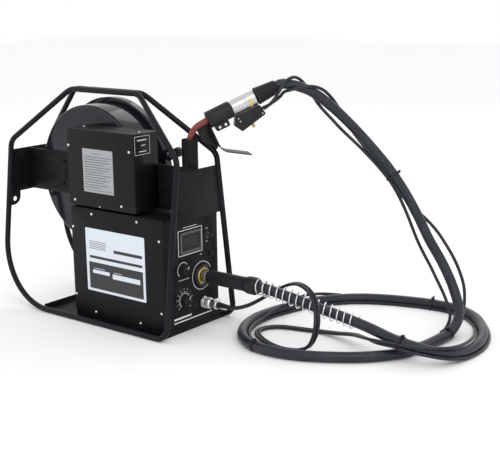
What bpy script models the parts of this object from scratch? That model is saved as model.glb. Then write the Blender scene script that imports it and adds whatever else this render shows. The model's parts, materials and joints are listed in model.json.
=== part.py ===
"""Portable welding wire feeder in a rod frame, with its gun parked and its leads on the floor.

Metres, +Z up. The origin is under the middle of the base pan, on the floor. +X points to the front control
panel, -Y to the side with the labelled covers, +Y to the wire drum's lid.
"""

import math

import bmesh
import bpy
from mathutils import Matrix, Vector

MM = 0.001
GAP = 0.3 * MM  # between pieces that touch
SHEET = 1.5 * MM  # folded sheet of the boxes
PLATE = 3.0 * MM  # cut plate of the frame

# Carrying frame: two bent bars that lean together and meet along the handle
ROD = 6.35 * MM
POST_X = 263 * MM
FOOT_HALF = 112 * MM
SHOULDER_HALF = 63 * MM
SHOULDER_Z = 384 * MM
HANDLE_Z = 508 * MM
HANDLE_REAR = -111 * MM
HANDLE_FRONT = 104.5 * MM
REAR_BEND = 150 * MM
SMALL_BEND = 30 * MM
HANDLE_BEND = 40 * MM

PAN_REAR = -130 * MM
PAN_FLOOR = 2 * MM
PAN_RIM = 15 * MM

REAR_PLATE_Z = (260.5 * MM, 362 * MM)
FRONT_PLATE_Z = (254 * MM, 358 * MM)
CENTRE_PLATE_Z = (263 * MM, 361 * MM)
CENTRE_FACE = -10 * MM  # far face of the centre plate and of the feed box partition
CENTRE_HOLES = ((-138 * MM, 338 * MM), (-141 * MM, 286 * MM), (205 * MM, 312 * MM))
CENTRE_HOLE_R = 3.5 * MM
LUG_DROP = 31.5 * MM  # from the rear cross plate down to its lug's foot
LUG_R = 21.5 * MM
LUG_HOLE_R = 6 * MM

# Torch holder
HOLDER_X = 236 * MM
HOLDER_R = 17.5 * MM
HOLDER_WALL = 2 * MM
HOLDER_Z = (268 * MM, 418.5 * MM)

# Wire drum, its axis along Y
DRUM_X = -56.6 * MM
DRUM_Z = 313.3 * MM
DRUM_R = 160.5 * MM
DRUM_RIM = 6.5 * MM
DRUM_END = 80 * MM
LID_R = 172 * MM
LID_START = 64 * MM
LID_FACE = 85.6 * MM
LID_WALL = 2 * MM
LID_BEND = 3 * MM
LID_LAP = 1 * MM  # between the shell and the lid's inner lip
HINGE_OUT = 11 * MM  # from the lid's edge to the hinge axis
HINGE_HALF = 25 * MM
HINGE_LEAF = 12 * MM
HINGE_PIN_R = 2.2 * MM
HINGE_BARREL_R = 4.5 * MM
KNOB_ANGLE = math.radians(17)
KNOB_REACH = 194 * MM
KNOB_R = 11.6 * MM
KNOB_HEIGHT = 13 * MM
STUD_R = 3 * MM
EAR_R = 9 * MM
EAR_THICK = 3 * MM
SHELL_EAR = LID_START - 10 * MM
LID_EAR = LID_FACE - 7 * MM
AXLE_R = 8 * MM
HUB_R = 16 * MM
FLANGE = 2 * MM
FLANGE_R = 134 * MM
COIL_R = (101 * MM, 142 * MM)  # a coil used down a little from its full 150 mm
COIL_WIDTH = 70 * MM
WIRE_OUT_X = 98 * MM  # where the wire leaves the drum, downwards
DRUM_STEPS = 40
SPOOL_STEPS = 24
BORE_STEPS = 24

# Boxes
UPPER_X = (-43 * MM, 163 * MM)
UPPER_Y = (-87.5 * MM, -13.3 * MM)
UPPER_Z = (262 * MM, 433 * MM)
LOWER_X = -40 * MM
LOWER_TOP = 257 * MM
COVER_Y = -87.5 * MM
PANEL_X = 239 * MM
PANEL_Y = (-87 * MM, 86 * MM)
BAY_X = 112 * MM

# Wire line through the drive rolls to the torch socket
WIRE_Y = 31.7 * MM
WIRE_Z = 114.3 * MM
WIRE_R = 1.0 * MM
ROLL_R = 15.3 * MM
ROLL_WIDTH = 12 * MM
ROLL_X = (150 * MM, 198 * MM)
GEAR_MODULE = 2.0 * MM
DRIVE_TEETH = 18
ROLL_TEETH = 13
GEAR_Y = (16.4 * MM, 22.4 * MM)
FEED_PLATE_Y = (6 * MM, 14 * MM)
SHAFT_R = 5 * MM
RUNNING = 0.09 * MM  # radial clearance of a shaft in its bore
ARM_PIVOTS = ((128 * MM, 152 * MM), (220 * MM, 152 * MM))
ARM_Y = (42 * MM, 48 * MM)
ARM_PIN_R = 4 * MM
POST_R = 3 * MM
MOTOR_R = 29 * MM
MOTOR_LENGTH = 118 * MM

# Front panel fittings as (y, z)
SOCKET_R = 25 * MM
BRASS_R = 18.5 * MM
SPINDLE_R = 3 * MM
VOLTAGE_KNOB = (-29.8 * MM, 139.6 * MM)
SPEED_KNOB = (-27.8 * MM, 71.8 * MM)
DISPLAY_Y = (-38 * MM, 30 * MM)
DISPLAY_Z = (175 * MM, 222 * MM)
METER_DEPTH = 18 * MM
TOGGLE = (51.3 * MM, 202.2 * MM)
BUTTON = (63.6 * MM, 156.5 * MM)
CONNECTOR = (34.0 * MM, 53.0 * MM)
CONNECTOR_R = 14.5 * MM
BUTTON_R = 4.2 * MM

# Torch plug, spring and leads
NUT_END = 262 * MM
HANDLE_END = 396 * MM
HANDLE_R = 15.5 * MM
LEAD_R = 11 * MM
THIN_R = 3.5 * MM
SPRING_WIRE = 1.5 * MM
SPRING_ROOM = 3.2 * MM  # between the lead and the spring's wire
SPRING_R = LEAD_R + SPRING_ROOM + SPRING_WIRE
SPRING_TURNS = 15
SPRING_START = 2.5 * MM
SPRING_LENGTH = 228 * MM

# Gun parked in the holder: a vertical plane through the holder, at this azimuth and rise
GUN_AZIMUTH = math.radians(50)
GUN_RISE = math.radians(24)
GUN_START = (39.4 * MM, 456.3 * MM)  # out from the holder's axis, and height, of the collar's end
NECK_R = 6.5 * MM
NECK_FOOT = 380 * MM
NECK_TOP = 438.8 * MM
NECK_BEND = 45 * MM
COLLAR_R = 18.5 * MM
COLLAR_BORE_R = 14 * MM
COLLAR_DEPTH = 25 * MM
COLLAR_END = 56 * MM
BODY_R = 16.5 * MM
BODY_END = 114.7 * MM
BOOT_R = 19 * MM
BOOT_END = 165 * MM
BOOT_RIBS = 5
RIB_STEP = 9 * MM
TRIGGER_BOX_END = 118.5 * MM
TRIGGER_X = 85 * MM
TRIGGER_R = 3.6 * MM
SHIELD_HALF = 22 * MM
SHIELD_WALL = 2.5 * MM


# ---------------------------------------------------------------- making things


def material(name, colour, roughness, metallic=0.0):
    made = bpy.data.materials.new(name)
    made.use_nodes = True
    shader = made.node_tree.nodes["Principled BSDF"]
    shader.inputs["Base Color"].default_value = (*colour, 1.0)
    shader.inputs["Roughness"].default_value = roughness
    shader.inputs["Metallic"].default_value = metallic
    return made


def finished(name, mesh, finish, smooth=False):
    """A bmesh made an object of the scene."""
    bmesh.ops.recalc_face_normals(mesh, faces=mesh.faces)
    data = bpy.data.meshes.new(name)
    mesh.to_mesh(data)
    mesh.free()
    if smooth:
        data.shade_smooth()
        data.set_sharp_from_angle(angle=math.radians(35))
    made = bpy.data.objects.new(name, data)
    made.data.materials.append(finish)
    bpy.context.scene.collection.objects.link(made)
    return made


AXES = {
    "X": Matrix(((0, 0, 1), (1, 0, 0), (0, 1, 0))),  # outline in (y, z)
    "Y": Matrix(((1, 0, 0), (0, 0, 1), (0, 1, 0))),  # outline in (x, z)
    "Z": Matrix(((1, 0, 0), (0, 1, 0), (0, 0, 1))),  # outline in (x, y)
}


def slab(name, outline, axis, span, finish, edge=0.0, both=True):
    """A closed outline pushed along an axis, from span[0] to span[1]; edge rounds the end faces' borders."""
    mesh = bmesh.new()
    turn = AXES[axis]
    corners = [mesh.verts.new(turn @ Vector((a, b, span[0]))) for a, b in outline]
    start = mesh.faces.new(corners)
    moved = bmesh.ops.extrude_face_region(mesh, geom=[start])
    verts = [item for item in moved["geom"] if isinstance(item, bmesh.types.BMVert)]
    faces = [item for item in moved["geom"] if isinstance(item, bmesh.types.BMFace)]
    bmesh.ops.translate(mesh, verts=verts, vec=turn @ Vector((0, 0, span[1] - span[0])))
    if edge:
        rims = set(faces[0].edges)
        if both:
            rims |= set(start.edges)
        bmesh.ops.bevel(mesh, geom=list(rims), offset=edge, segments=1, profile=0.5, affect="EDGES")
    return finished(name, mesh, finish, smooth=bool(edge) or len(outline) > 12)


def block(x, y, z):
    """The outline and axis span of a plain box, for slab."""
    return [(x[0], y[0]), (x[1], y[0]), (x[1], y[1]), (x[0], y[1])], "Z", z


def arc(centre, radius, start, end, steps):
    """Points of an arc, in degrees."""
    return [
        (
            centre[0] + radius * math.cos(math.radians(start + (end - start) * i / steps)),
            centre[1] + radius * math.sin(math.radians(start + (end - start) * i / steps)),
        )
        for i in range(steps + 1)
    ]


def ring_points(centre, radius, steps, turn=0.0):
    """A full circle of points, the last of which isn't the first again."""
    return [
        (
            centre[0] + radius * math.cos(math.tau * (i + turn) / steps),
            centre[1] + radius * math.sin(math.tau * (i + turn) / steps),
        )
        for i in range(steps)
    ]


def rounded(corners, radius, steps=3):
    """A closed 2-D outline with its corners rounded."""
    points = filleted([Vector((*corner, 0)) for corner in corners], radius, steps, closed=True)
    return [(point.x, point.y) for point in points]


def fluted(outer, inner, lobes):
    """A round grip's outline with shallow flutes."""
    points = []
    for lobe in range(lobes):
        for share, radius in ((-0.28, outer), (0.28, outer), (0.38, inner), (0.62, inner)):
            angle = math.tau * (lobe + share) / lobes
            points.append((radius * math.cos(angle), radius * math.sin(angle)))
    return points


def rectangle(a, b):
    return [(a[0], b[0]), (a[1], b[0]), (a[1], b[1]), (a[0], b[1])]


def filleted(corners, radii, steps=None, closed=False):
    """A path through corners with an arc at each; radii is one number or one for each corner.

    Without a number of steps, an arc has one for each 22 mm of its length, and 3 at least.
    """
    count = len(corners)
    if not hasattr(radii, "__len__"):
        radii = [radii] * count
    points = []
    for i, corner in enumerate(corners):
        if not closed and i in (0, count - 1) or radii[i] == 0:
            points.append(corner.copy())
            continue
        back = (corners[i - 1] - corner).normalized()
        ahead = (corners[(i + 1) % count] - corner).normalized()
        half = back.angle(ahead) / 2
        reach = radii[i] / math.tan(half)
        centre = corner + (back + ahead).normalized() * radii[i] / math.sin(half)
        first = corner + back * reach - centre
        axis = first.cross(corner + ahead * reach - centre).normalized()
        sweep = math.pi - 2 * half
        parts = steps or max(3, round(sweep * radii[i] / (22 * MM)))
        points += [centre + Matrix.Rotation(sweep * k / parts, 3, axis) @ first for k in range(parts + 1)]
    return points


def turned(name, profile, finish, steps=16, place=None):
    """A profile of (radius, height) turned about Z, then placed. A closed profile off the axis gives a ring."""
    mesh = bmesh.new()
    verts = [mesh.verts.new((radius, 0, height)) for radius, height in profile]
    on_axis = profile[0][0] == 0
    pairs = list(zip(verts, verts[1:]))
    if not on_axis:
        pairs.append((verts[-1], verts[0]))
    edges = [mesh.edges.new(pair) for pair in pairs]
    bmesh.ops.spin(
        mesh, geom=verts + edges, cent=(0, 0, 0), axis=(0, 0, 1), angle=math.tau, steps=steps, use_merge=True
    )
    bmesh.ops.remove_doubles(mesh, verts=mesh.verts, dist=1e-6)
    made = finished(name, mesh, finish, smooth=True)
    if place:
        made.matrix_world = place
    return made


def along(axis, origin):
    """The placing that turns a turned piece's Z to the axis, at the origin."""
    turn = Vector((0, 0, 1)).rotation_difference(Vector(axis)).to_matrix().to_4x4()
    return Matrix.Translation(Vector(origin)) @ turn


def rod(name, radius, span, finish, steps=16, place=None, edge=0.0):
    """A round bar from span[0] to span[1] along its placing's Z, with its ends chamfered by edge."""
    low, high = span
    if edge:
        profile = [(0, low), (radius - edge, low), (radius, low + edge)]
        profile += [(radius, high - edge), (radius - edge, high), (0, high)]
    else:
        profile = [(0, low), (radius, low), (radius, high), (0, high)]
    return turned(name, profile, finish, steps, place)


def y_rod(name, radius, spot, span, finish, steps=16, edge=0.0):
    """A round bar along Y at an (x, z) spot."""
    return rod(name, radius, span, finish, steps, along((0, 1, 0), (spot[0], 0, spot[1])), edge)


def sleeve(name, inner, outer, span, finish, steps=24, place=None):
    low, high = span
    return turned(name, [(outer, low), (outer, high), (inner, high), (inner, low)], finish, steps, place)


def tube(name, points, radius, finish, resolution=2, closed=False):
    """A round bar or cord along points."""
    data = bpy.data.curves.new(name, "CURVE")
    data.dimensions = "3D"
    data.bevel_depth = radius
    data.bevel_resolution = resolution
    data.use_fill_caps = True
    spline = data.splines.new("POLY")
    spline.points.add(len(points) - 1)
    for slot, point in zip(spline.points, points):
        slot.co = (*point, 1)
    spline.use_cyclic_u = closed
    made = bpy.data.objects.new(name, data)
    made.data.materials.append(finish)
    bpy.context.scene.collection.objects.link(made)
    return made


def meshed(curve):
    """A curve object made a mesh one, which a Boolean needs."""
    graph = bpy.context.evaluated_depsgraph_get()
    data = bpy.data.meshes.new_from_object(curve.evaluated_get(graph))
    name = curve.name
    finish = curve.data.materials[0]
    bpy.data.objects.remove(curve)
    mesh = bmesh.new()
    mesh.from_mesh(data)
    bpy.data.meshes.remove(data)
    bmesh.ops.remove_doubles(mesh, verts=mesh.verts, dist=1e-6)
    return finished(name, mesh, finish, smooth=True)


def combine(target, helper, operation):
    helper.hide_render = True
    helper.display_type = "WIRE"
    change = target.modifiers.new(helper.name, "BOOLEAN")
    change.operation = operation
    change.solver = "EXACT"
    change.object = helper
    return target


def cut(target, *helpers):
    for helper in helpers:
        combine(target, helper, "DIFFERENCE")
    return target


def fuse(target, *helpers):
    for helper in helpers:
        combine(target, helper, "UNION")
    return target


def hold(parent, *pieces):
    """Parents pieces without moving them."""
    bpy.context.view_layer.update()
    for piece in pieces:
        kept = piece.matrix_world.copy()
        piece.parent = parent
        piece.matrix_parent_inverse = parent.matrix_world.inverted()
        piece.matrix_world = kept


def joint_frame(name, place):
    """An empty on a joint's axis, which carries the body's pieces."""
    frame = bpy.data.objects.new(name, None)
    frame.empty_display_size = 0.02
    bpy.context.scene.collection.objects.link(frame)
    frame.matrix_world = place
    return frame


def smooth_curve(route, spacing):
    """Points about spacing apart on a smooth curve (centripetal Catmull-Rom) through the route's points."""
    knots = [Vector(point) for point in route]
    knots = [2 * knots[0] - knots[1]] + knots + [2 * knots[-1] - knots[-2]]
    fine = []
    for a, b, c, d in zip(knots, knots[1:], knots[2:], knots[3:]):
        t1 = (b - a).length ** 0.5
        t2 = t1 + (c - b).length ** 0.5
        t3 = t2 + (d - c).length ** 0.5
        for k in range(12):
            t = t1 + (t2 - t1) * k / 12
            ab = a.lerp(b, t / t1)
            bc = b.lerp(c, (t - t1) / (t2 - t1))
            cd = c.lerp(d, (t - t2) / (t3 - t2))
            fine.append(ab.lerp(bc, t / t2).lerp(bc.lerp(cd, (t - t1) / (t3 - t1)), (t - t1) / (t2 - t1)))
    fine.append(knots[-2])
    return respaced(fine, spacing)


def respaced(fine, spacing):
    """The same path with its points an even distance apart."""
    lengths = [0.0]
    for a, b in zip(fine, fine[1:]):
        lengths.append(lengths[-1] + (b - a).length)
    count = max(2, round(lengths[-1] / spacing))
    points = []
    at = 0
    for k in range(count + 1):
        goal = lengths[-1] * k / count
        while at < len(fine) - 2 and lengths[at + 1] < goal:
            at += 1
        points.append(fine[at].lerp(fine[at + 1], (goal - lengths[at]) / (lengths[at + 1] - lengths[at])))
    return points


# ---------------------------------------------------------------- carrying frame


def post_half(height):
    """Half the distance between the two hoops' posts at a height."""
    return FOOT_HALF + (SHOULDER_HALF - FOOT_HALF) * (height - ROD) / (SHOULDER_Z - ROD)


def make_hoop(name, side, finish):
    handle = ROD + GAP / 2
    corners = [
        Vector((-POST_X, side * FOOT_HALF, ROD)),
        Vector((POST_X, side * FOOT_HALF, ROD)),
        Vector((POST_X, side * SHOULDER_HALF, SHOULDER_Z)),
        Vector((HANDLE_FRONT, side * handle, HANDLE_Z)),
        Vector((HANDLE_REAR, side * handle, HANDLE_Z)),
        Vector((-POST_X, side * SHOULDER_HALF, SHOULDER_Z)),
    ]
    bends = [REAR_BEND, SMALL_BEND, SMALL_BEND, HANDLE_BEND, HANDLE_BEND, SMALL_BEND]
    return tube(name, filleted(corners, bends, closed=True), ROD, finish, 2, closed=True)


def cross_plate_outline(low, high):
    low_half = post_half(low) - ROD - 2 * GAP
    high_half = post_half(high) - ROD - 2 * GAP
    return [(-low_half, low), (low_half, low), (high_half, high), (-high_half, high)]


def make_rear_cross_plate(finish):
    low, high = REAR_PLATE_Z
    thick = (-POST_X - PLATE / 2, -POST_X + PLATE / 2)
    plate = slab("rear_cross_plate", cross_plate_outline(low, high), "X", thick, finish)
    foot = low - LUG_DROP
    start = -post_half(foot) + ROD + 2 * GAP
    outline = [(start + 4 * MM, low + 2 * MM), (start, foot), (start + 8 * MM, foot)]
    outline += arc((start + 8 * MM, foot + LUG_R), LUG_R, -90, 0, 6)
    outline += [(start + 8 * MM + LUG_R, low + 2 * MM)]
    lug = slab("lug", outline, "X", thick, finish)
    spot = along((1, 0, 0), (-POST_X, start + 13 * MM, low - 17 * MM))
    hole = rod("lug_hole", LUG_HOLE_R, (-5 * MM, 5 * MM), finish, 16, spot)
    return cut(fuse(plate, lug), hole)


def make_front_cross_plate(finish):
    thick = (POST_X - PLATE / 2, POST_X + PLATE / 2)
    return slab("front_cross_plate", cross_plate_outline(*FRONT_PLATE_Z), "X", thick, finish)


def make_centre_plate(finish):
    reach = POST_X - PLATE / 2 - GAP
    outline = rectangle((-reach, reach), CENTRE_PLATE_Z)
    plate = slab("centre_plate", outline, "Y", (CENTRE_FACE - PLATE, CENTRE_FACE), finish)
    through = (CENTRE_FACE - 6 * MM, CENTRE_FACE + 3 * MM)
    for number, spot in enumerate(CENTRE_HOLES):
        cut(plate, y_rod(f"plate_hole_{number}", CENTRE_HOLE_R, spot, through, finish, 12))
    return plate


def make_holder_tube(finish):
    spot = along((0, 0, 1), (HOLDER_X, CENTRE_FACE + GAP + HOLDER_R, 0))
    return sleeve("torch_holder_tube", HOLDER_R - HOLDER_WALL, HOLDER_R, HOLDER_Z, finish, 20, spot)


def make_base_pan(finish):
    half = FOOT_HALF - ROD - 2 * GAP
    front = PANEL_X + SHEET + GAP
    outline = [(PAN_REAR, PAN_RIM), (PAN_REAR, 0), (front, 0), (front, PAN_RIM), (front - SHEET, PAN_RIM)]
    outline += [(front - SHEET, PAN_FLOOR), (PAN_REAR + SHEET, PAN_FLOOR), (PAN_REAR + SHEET, PAN_RIM)]
    return slab("base_pan", outline, "Y", (-half, half), finish)


# ---------------------------------------------------------------- wire drum


def drum_point(radius, angle, y):
    return Vector((DRUM_X + radius * math.cos(angle), y, DRUM_Z + radius * math.sin(angle)))


def drum_place():
    return along((0, 1, 0), (DRUM_X, 0, DRUM_Z))


def hinge_x():
    return DRUM_X - LID_R - HINGE_OUT


def ear_outline(radius):
    """A rim ear in the plane of the drum's end, pointing out along the knob's angle from a radius."""
    out = Vector((math.cos(KNOB_ANGLE), math.sin(KNOB_ANGLE)))
    side = Vector((-out.y, out.x)) * (EAR_R + 6 * MM)
    centre = Vector((DRUM_X, DRUM_Z)) + out * KNOB_REACH
    root = Vector((DRUM_X, DRUM_Z)) + out * radius
    base = math.degrees(KNOB_ANGLE)
    return [tuple(root - side), *arc(tuple(centre), EAR_R, base - 90, base + 90, 8), tuple(root + side)]


def rim_bend(radius, height, bend, angles, up):
    """Profile points of a sheet bend about (radius, height), at angles from the drum's axis."""
    turns = [math.radians(angle) for angle in angles]
    return [(radius + bend * math.sin(turn), height + up * bend * math.cos(turn)) for turn in turns]


def make_drum_shell(finish):
    face = CENTRE_FACE + GAP
    centre = (DRUM_R - DRUM_RIM, face + DRUM_RIM)
    profile = [(0, face), *rim_bend(*centre, DRUM_RIM, (0, 45, 90), -1)]
    profile += [(DRUM_R, DRUM_END), (DRUM_R - SHEET, DRUM_END)]
    profile += [*rim_bend(*centre, DRUM_RIM - SHEET, (90, 0), -1), (0, face + SHEET)]
    shell = turned("drum_shell", profile, finish, DRUM_STEPS, drum_place())

    ear_y = (SHELL_EAR, SHELL_EAR + EAR_THICK)
    fuse(shell, slab("shell_ear", ear_outline(DRUM_R - 1 * MM), "Y", ear_y, finish))
    knob = drum_point(KNOB_REACH, KNOB_ANGLE, 0)
    through = (SHELL_EAR - 9 * MM, SHELL_EAR + 9 * MM)
    cut(shell, y_rod("stud_hole", STUD_R + 1.2 * MM, (knob.x, knob.z), through, finish))

    pivot = (hinge_x(), LID_START + 2 * MM)
    root = DRUM_X - DRUM_R + 3 * MM
    for low in (-HINGE_HALF, HINGE_HALF - HINGE_LEAF):
        span = (DRUM_Z + low, DRUM_Z + low + HINGE_LEAF)
        reach = [(root, LID_START - 12 * MM), (root, LID_START - 2 * MM)]
        reach += [(pivot[0] + 4 * MM, LID_START - 2 * MM), (pivot[0] + 4 * MM, pivot[1])]
        reach += [(pivot[0] - 4 * MM, pivot[1]), (pivot[0] - 4 * MM, LID_START - 6 * MM)]
        arm = slab("hinge_arm", reach, "Z", span, finish)
        fuse(shell, arm, rod("hinge_barrel", HINGE_BARREL_R, span, finish, 16, along((0, 0, 1), (*pivot, 0))))
    pin_span = (DRUM_Z - HINGE_HALF - 2 * MM, DRUM_Z + HINGE_HALF + 2 * MM)
    fuse(shell, rod("hinge_pin", HINGE_PIN_R, pin_span, finish, 12, along((0, 0, 1), (*pivot, 0))))
    way_out = along((0, 0, 1), (WIRE_OUT_X, WIRE_Y, DRUM_Z - 50 * MM))
    return cut(shell, rod("wire_hole", 5 * MM, (-8 * MM, 8 * MM), finish, 16, way_out))


def make_drum_lid(finish):
    lip = DRUM_R + LID_LAP
    profile = [(0, LID_FACE), *rim_bend(LID_R - LID_BEND, LID_FACE - LID_BEND, LID_BEND, (0, 45, 90), 1)]
    profile += [(LID_R, LID_START), (lip, LID_START), (lip, LID_START + LID_WALL)]
    profile += [(LID_R - LID_WALL, LID_START + LID_WALL), (LID_R - LID_WALL, LID_FACE - LID_BEND)]
    profile += [(LID_R - LID_BEND, LID_FACE - LID_WALL), (0, LID_FACE - LID_WALL)]
    lid = turned("drum_lid", profile, finish, DRUM_STEPS, drum_place())

    fuse(lid, slab("lid_ear", ear_outline(LID_R - 1 * MM), "Y", (LID_EAR, LID_EAR + EAR_THICK), finish))
    knob = drum_point(KNOB_REACH, KNOB_ANGLE, 0)
    through = (LID_EAR - 5 * MM, LID_EAR + 9 * MM)
    cut(lid, y_rod("ear_hole", STUD_R + RUNNING, (knob.x, knob.z), through, finish, BORE_STEPS))

    inset = HINGE_LEAF + 0.4 * MM
    span = (DRUM_Z - HINGE_HALF + inset, DRUM_Z + HINGE_HALF - inset)
    pivot = (hinge_x(), LID_START + 2 * MM)
    root = DRUM_X - LID_R + 2.5 * MM
    strap = [(root, LID_START + 4 * MM), (root, LID_START + 12 * MM), (pivot[0] + 4 * MM, LID_START + 9 * MM)]
    strap += [(pivot[0] - 2 * MM, pivot[1] + 2 * MM), pivot, (pivot[0] + 4 * MM, pivot[1])]
    axis = along((0, 0, 1), (*pivot, 0))
    barrel = rod("lid_barrel", HINGE_BARREL_R, span, finish, 16, axis)
    fuse(lid, slab("lid_strap", strap, "Z", span, finish), barrel)
    bore_span = (span[0] - 3 * MM, span[1] + 3 * MM)
    return cut(lid, rod("lid_bore", HINGE_PIN_R + RUNNING, bore_span, finish, BORE_STEPS, axis))


def make_lid_knob(finish):
    """A ribbed screw knob whose stud passes the lid's ear and enters the shell's."""
    face = LID_EAR + EAR_THICK
    grip = fluted(KNOB_R, KNOB_R - 1.2 * MM, 6)
    knob = slab("lid_knob", grip, "Z", (face + GAP, face + KNOB_HEIGHT), finish, edge=0.8 * MM)
    spot = drum_point(KNOB_REACH, KNOB_ANGLE, 0)
    knob.matrix_world = along((0, 1, 0), spot)
    stud_span = (SHELL_EAR - 2 * MM, face + 2 * MM)
    return fuse(knob, y_rod("lid_stud", STUD_R, (spot.x, spot.z), stud_span, finish, BORE_STEPS, 0.6 * MM))


def make_spool(steel, plastic, wire):
    face = CENTRE_FACE + GAP + SHEET + GAP
    axle_end = LID_FACE - LID_WALL - 0.8 * MM
    foot = face + 2 * MM
    axle = [(0, face), (18 * MM, face), (18 * MM, foot), (AXLE_R, foot), (AXLE_R, axle_end), (0, axle_end)]
    turned("spool_axle", axle, steel, BORE_STEPS, drum_place())

    bore = AXLE_R + RUNNING
    core = COIL_R[0] - GAP
    core_wall = 2.5 * MM
    core_end = COIL_WIDTH - 8 * MM
    hub_end = COIL_WIDTH + 3 * MM
    hub = [(bore, foot + GAP), (HUB_R, foot + GAP), (HUB_R, -FLANGE), (FLANGE_R, -FLANGE), (FLANGE_R, 0)]
    hub += [(core, 0), (core, core_end), (core - core_wall, core_end), (core - core_wall, 0)]
    hub += [(HUB_R, 0), (HUB_R, hub_end), (bore, hub_end)]

    low, high = GAP, COIL_WIDTH - GAP
    edge = 3 * MM
    inner, outer = COIL_R
    coil = [(inner, low), (outer - edge, low), (outer, low + edge), (outer, high - edge), (outer - edge, high)]
    coil += [(inner, high)]

    start = high + GAP
    dish = hub_end + GAP
    retainer = [(bore, dish), (22 * MM, dish), (34 * MM, start), (FLANGE_R, start), (FLANGE_R, start + FLANGE)]
    retainer += [(35 * MM, start + FLANGE), (23 * MM, dish + FLANGE), (HUB_R, dish + FLANGE)]
    retainer += [(HUB_R, axle_end - 2 * MM), (bore, axle_end - 2 * MM)]
    hold(
        joint_frame("spool_turn", drum_place()),
        turned("spool_hub", hub, plastic, SPOOL_STEPS, drum_place()),
        turned("wire_coil", coil, wire, SPOOL_STEPS, drum_place()),
        turned("spool_retainer", retainer, plastic, SPOOL_STEPS, drum_place()),
    )


def make_drum(gloss, steel, plastic, wire):
    make_drum_shell(gloss)
    lid = make_drum_lid(gloss)
    knob = make_lid_knob(plastic)
    hinge = joint_frame("lid_hinge", along((0, 0, 1), (hinge_x(), LID_START + 2 * MM, DRUM_Z)))
    knob_turn = joint_frame("lid_knob_turn", along((0, 1, 0), drum_point(KNOB_REACH, KNOB_ANGLE, LID_FACE)))
    hold(hinge, lid, knob_turn)
    hold(knob_turn, knob)
    make_spool(steel, plastic, wire)


# ---------------------------------------------------------------- boxes


def make_upper_box(finish, inner):
    y_back = UPPER_Y[1] - SHEET
    outline = rounded(rectangle(UPPER_X, UPPER_Z), 3 * MM, 2)
    cover = slab("upper_box_cover", outline, "Y", (UPPER_Y[0], y_back - GAP), finish)
    bevel = cover.modifiers.new("front_bend", "BEVEL")
    bevel.width = 2 * MM
    bevel.segments = 1
    bevel.limit_method = "ANGLE"
    bevel.angle_limit = math.radians(60)
    inside = rectangle((UPPER_X[0] + SHEET, UPPER_X[1] - SHEET), (UPPER_Z[0] + SHEET, UPPER_Z[1] - SHEET))
    cut(cover, slab("upper_inside", inside, "Y", (UPPER_Y[0] + SHEET, UPPER_Y[1] + 10 * MM), finish))
    back = slab("upper_box_back", outline, "Y", (y_back, UPPER_Y[1]), finish)
    rail_z = (UPPER_Z[0] + SHEET + GAP, UPPER_Z[0] + 2 * SHEET + GAP)
    rail_x = (UPPER_X[0] + 12 * MM, UPPER_X[1] - 12 * MM)
    rail_y = (y_back - 12 * MM, y_back + 0.5 * MM)
    fuse(back, slab("upper_rail", *block(rail_x, rail_y, rail_z), finish))
    outline = rounded(rectangle((20 * MM, 92 * MM), (310 * MM, 372 * MM)), 3 * MM, 2)
    body = slab("contactor", outline, "Y", (-62 * MM, y_back - GAP), inner, edge=1.5 * MM)
    for number, (x, z) in enumerate((x, z) for x in (34 * MM, 78 * MM) for z in (302 * MM, 380 * MM)):
        spot = along((0, 0, 1), (x, -40 * MM, z))
        fuse(body, rod(f"terminal_{number}", 6 * MM, (-16 * MM, 16 * MM), inner, 10, spot))
    return cover


def make_feed_box(finish):
    """Closed electrical compartment on the near side, and the drive bay's roof on the far side."""
    front = PANEL_X - GAP
    near = COVER_Y + SHEET + GAP
    low = PAN_FLOOR + GAP
    box = slab("feed_box", *block((LOWER_X, front), (near, CENTRE_FACE), (low, LOWER_TOP)), finish)
    inside_x = (LOWER_X + SHEET, front - SHEET)
    inside_z = (low + SHEET, LOWER_TOP - SHEET)
    cut(box, slab("feed_inside", *block(inside_x, (near + SHEET, CENTRE_FACE - 2 * MM), inside_z), finish))
    door_x = (LOWER_X + 15 * MM, front - 15 * MM)
    door_z = (low + 26 * MM, LOWER_TOP - 15 * MM)
    cut(box, slab("feed_door", *block(door_x, (near - 5 * MM, near + 5 * MM), door_z), finish))
    window = rectangle((near + 8 * MM, CENTRE_FACE - 10 * MM), (low + 20 * MM, LOWER_TOP - 15 * MM))
    cut(box, slab("feed_window", window, "X", (front - 8 * MM, front + 8 * MM), finish))

    bay_y = (CENTRE_FACE - 1 * MM, PANEL_Y[1])
    roof = slab("bay_roof", *block((BAY_X, front), bay_y, (LOWER_TOP - SHEET, LOWER_TOP)), finish)
    lip_y = (PANEL_Y[1] - SHEET, PANEL_Y[1])
    fuse(box, roof, slab("bay_lip", *block((BAY_X, front), lip_y, (LOWER_TOP - 12 * MM, LOWER_TOP)), finish))

    through = (CENTRE_FACE - 8 * MM, CENTRE_FACE + 8 * MM)
    gear = (drive_centre().x, drive_centre().z)
    pipe = along((0, 0, 1), (BAY_X + 14 * MM, 62 * MM, LOWER_TOP))
    notch_x = (PANEL_X - METER_DEPTH - 2 * MM, PANEL_X + 2 * MM)
    notch_z = (DISPLAY_Z[0] + 2 * MM, DISPLAY_Z[1] - 2 * MM)
    return cut(
        box,
        y_rod("shaft_way", 10 * MM, gear, through, finish, 20),
        y_rod("lead_way", 9 * MM, (200 * MM, 228 * MM), through, finish),
        rod("pipe_way", 6 * MM, (-4 * MM, 4 * MM), finish, 16, pipe),
        slab("meter_notch", *block(notch_x, (CENTRE_FACE - 12 * MM, CENTRE_FACE + 5 * MM), notch_z), finish),
    )


def make_side_cover(finish):
    front = PANEL_X - GAP
    outline = rectangle((LOWER_X - 1 * MM, front), (PAN_RIM, LOWER_TOP))
    return slab("side_cover", rounded(outline, 1.5 * MM, 2), "Y", (COVER_Y, COVER_Y + SHEET), finish)


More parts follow.
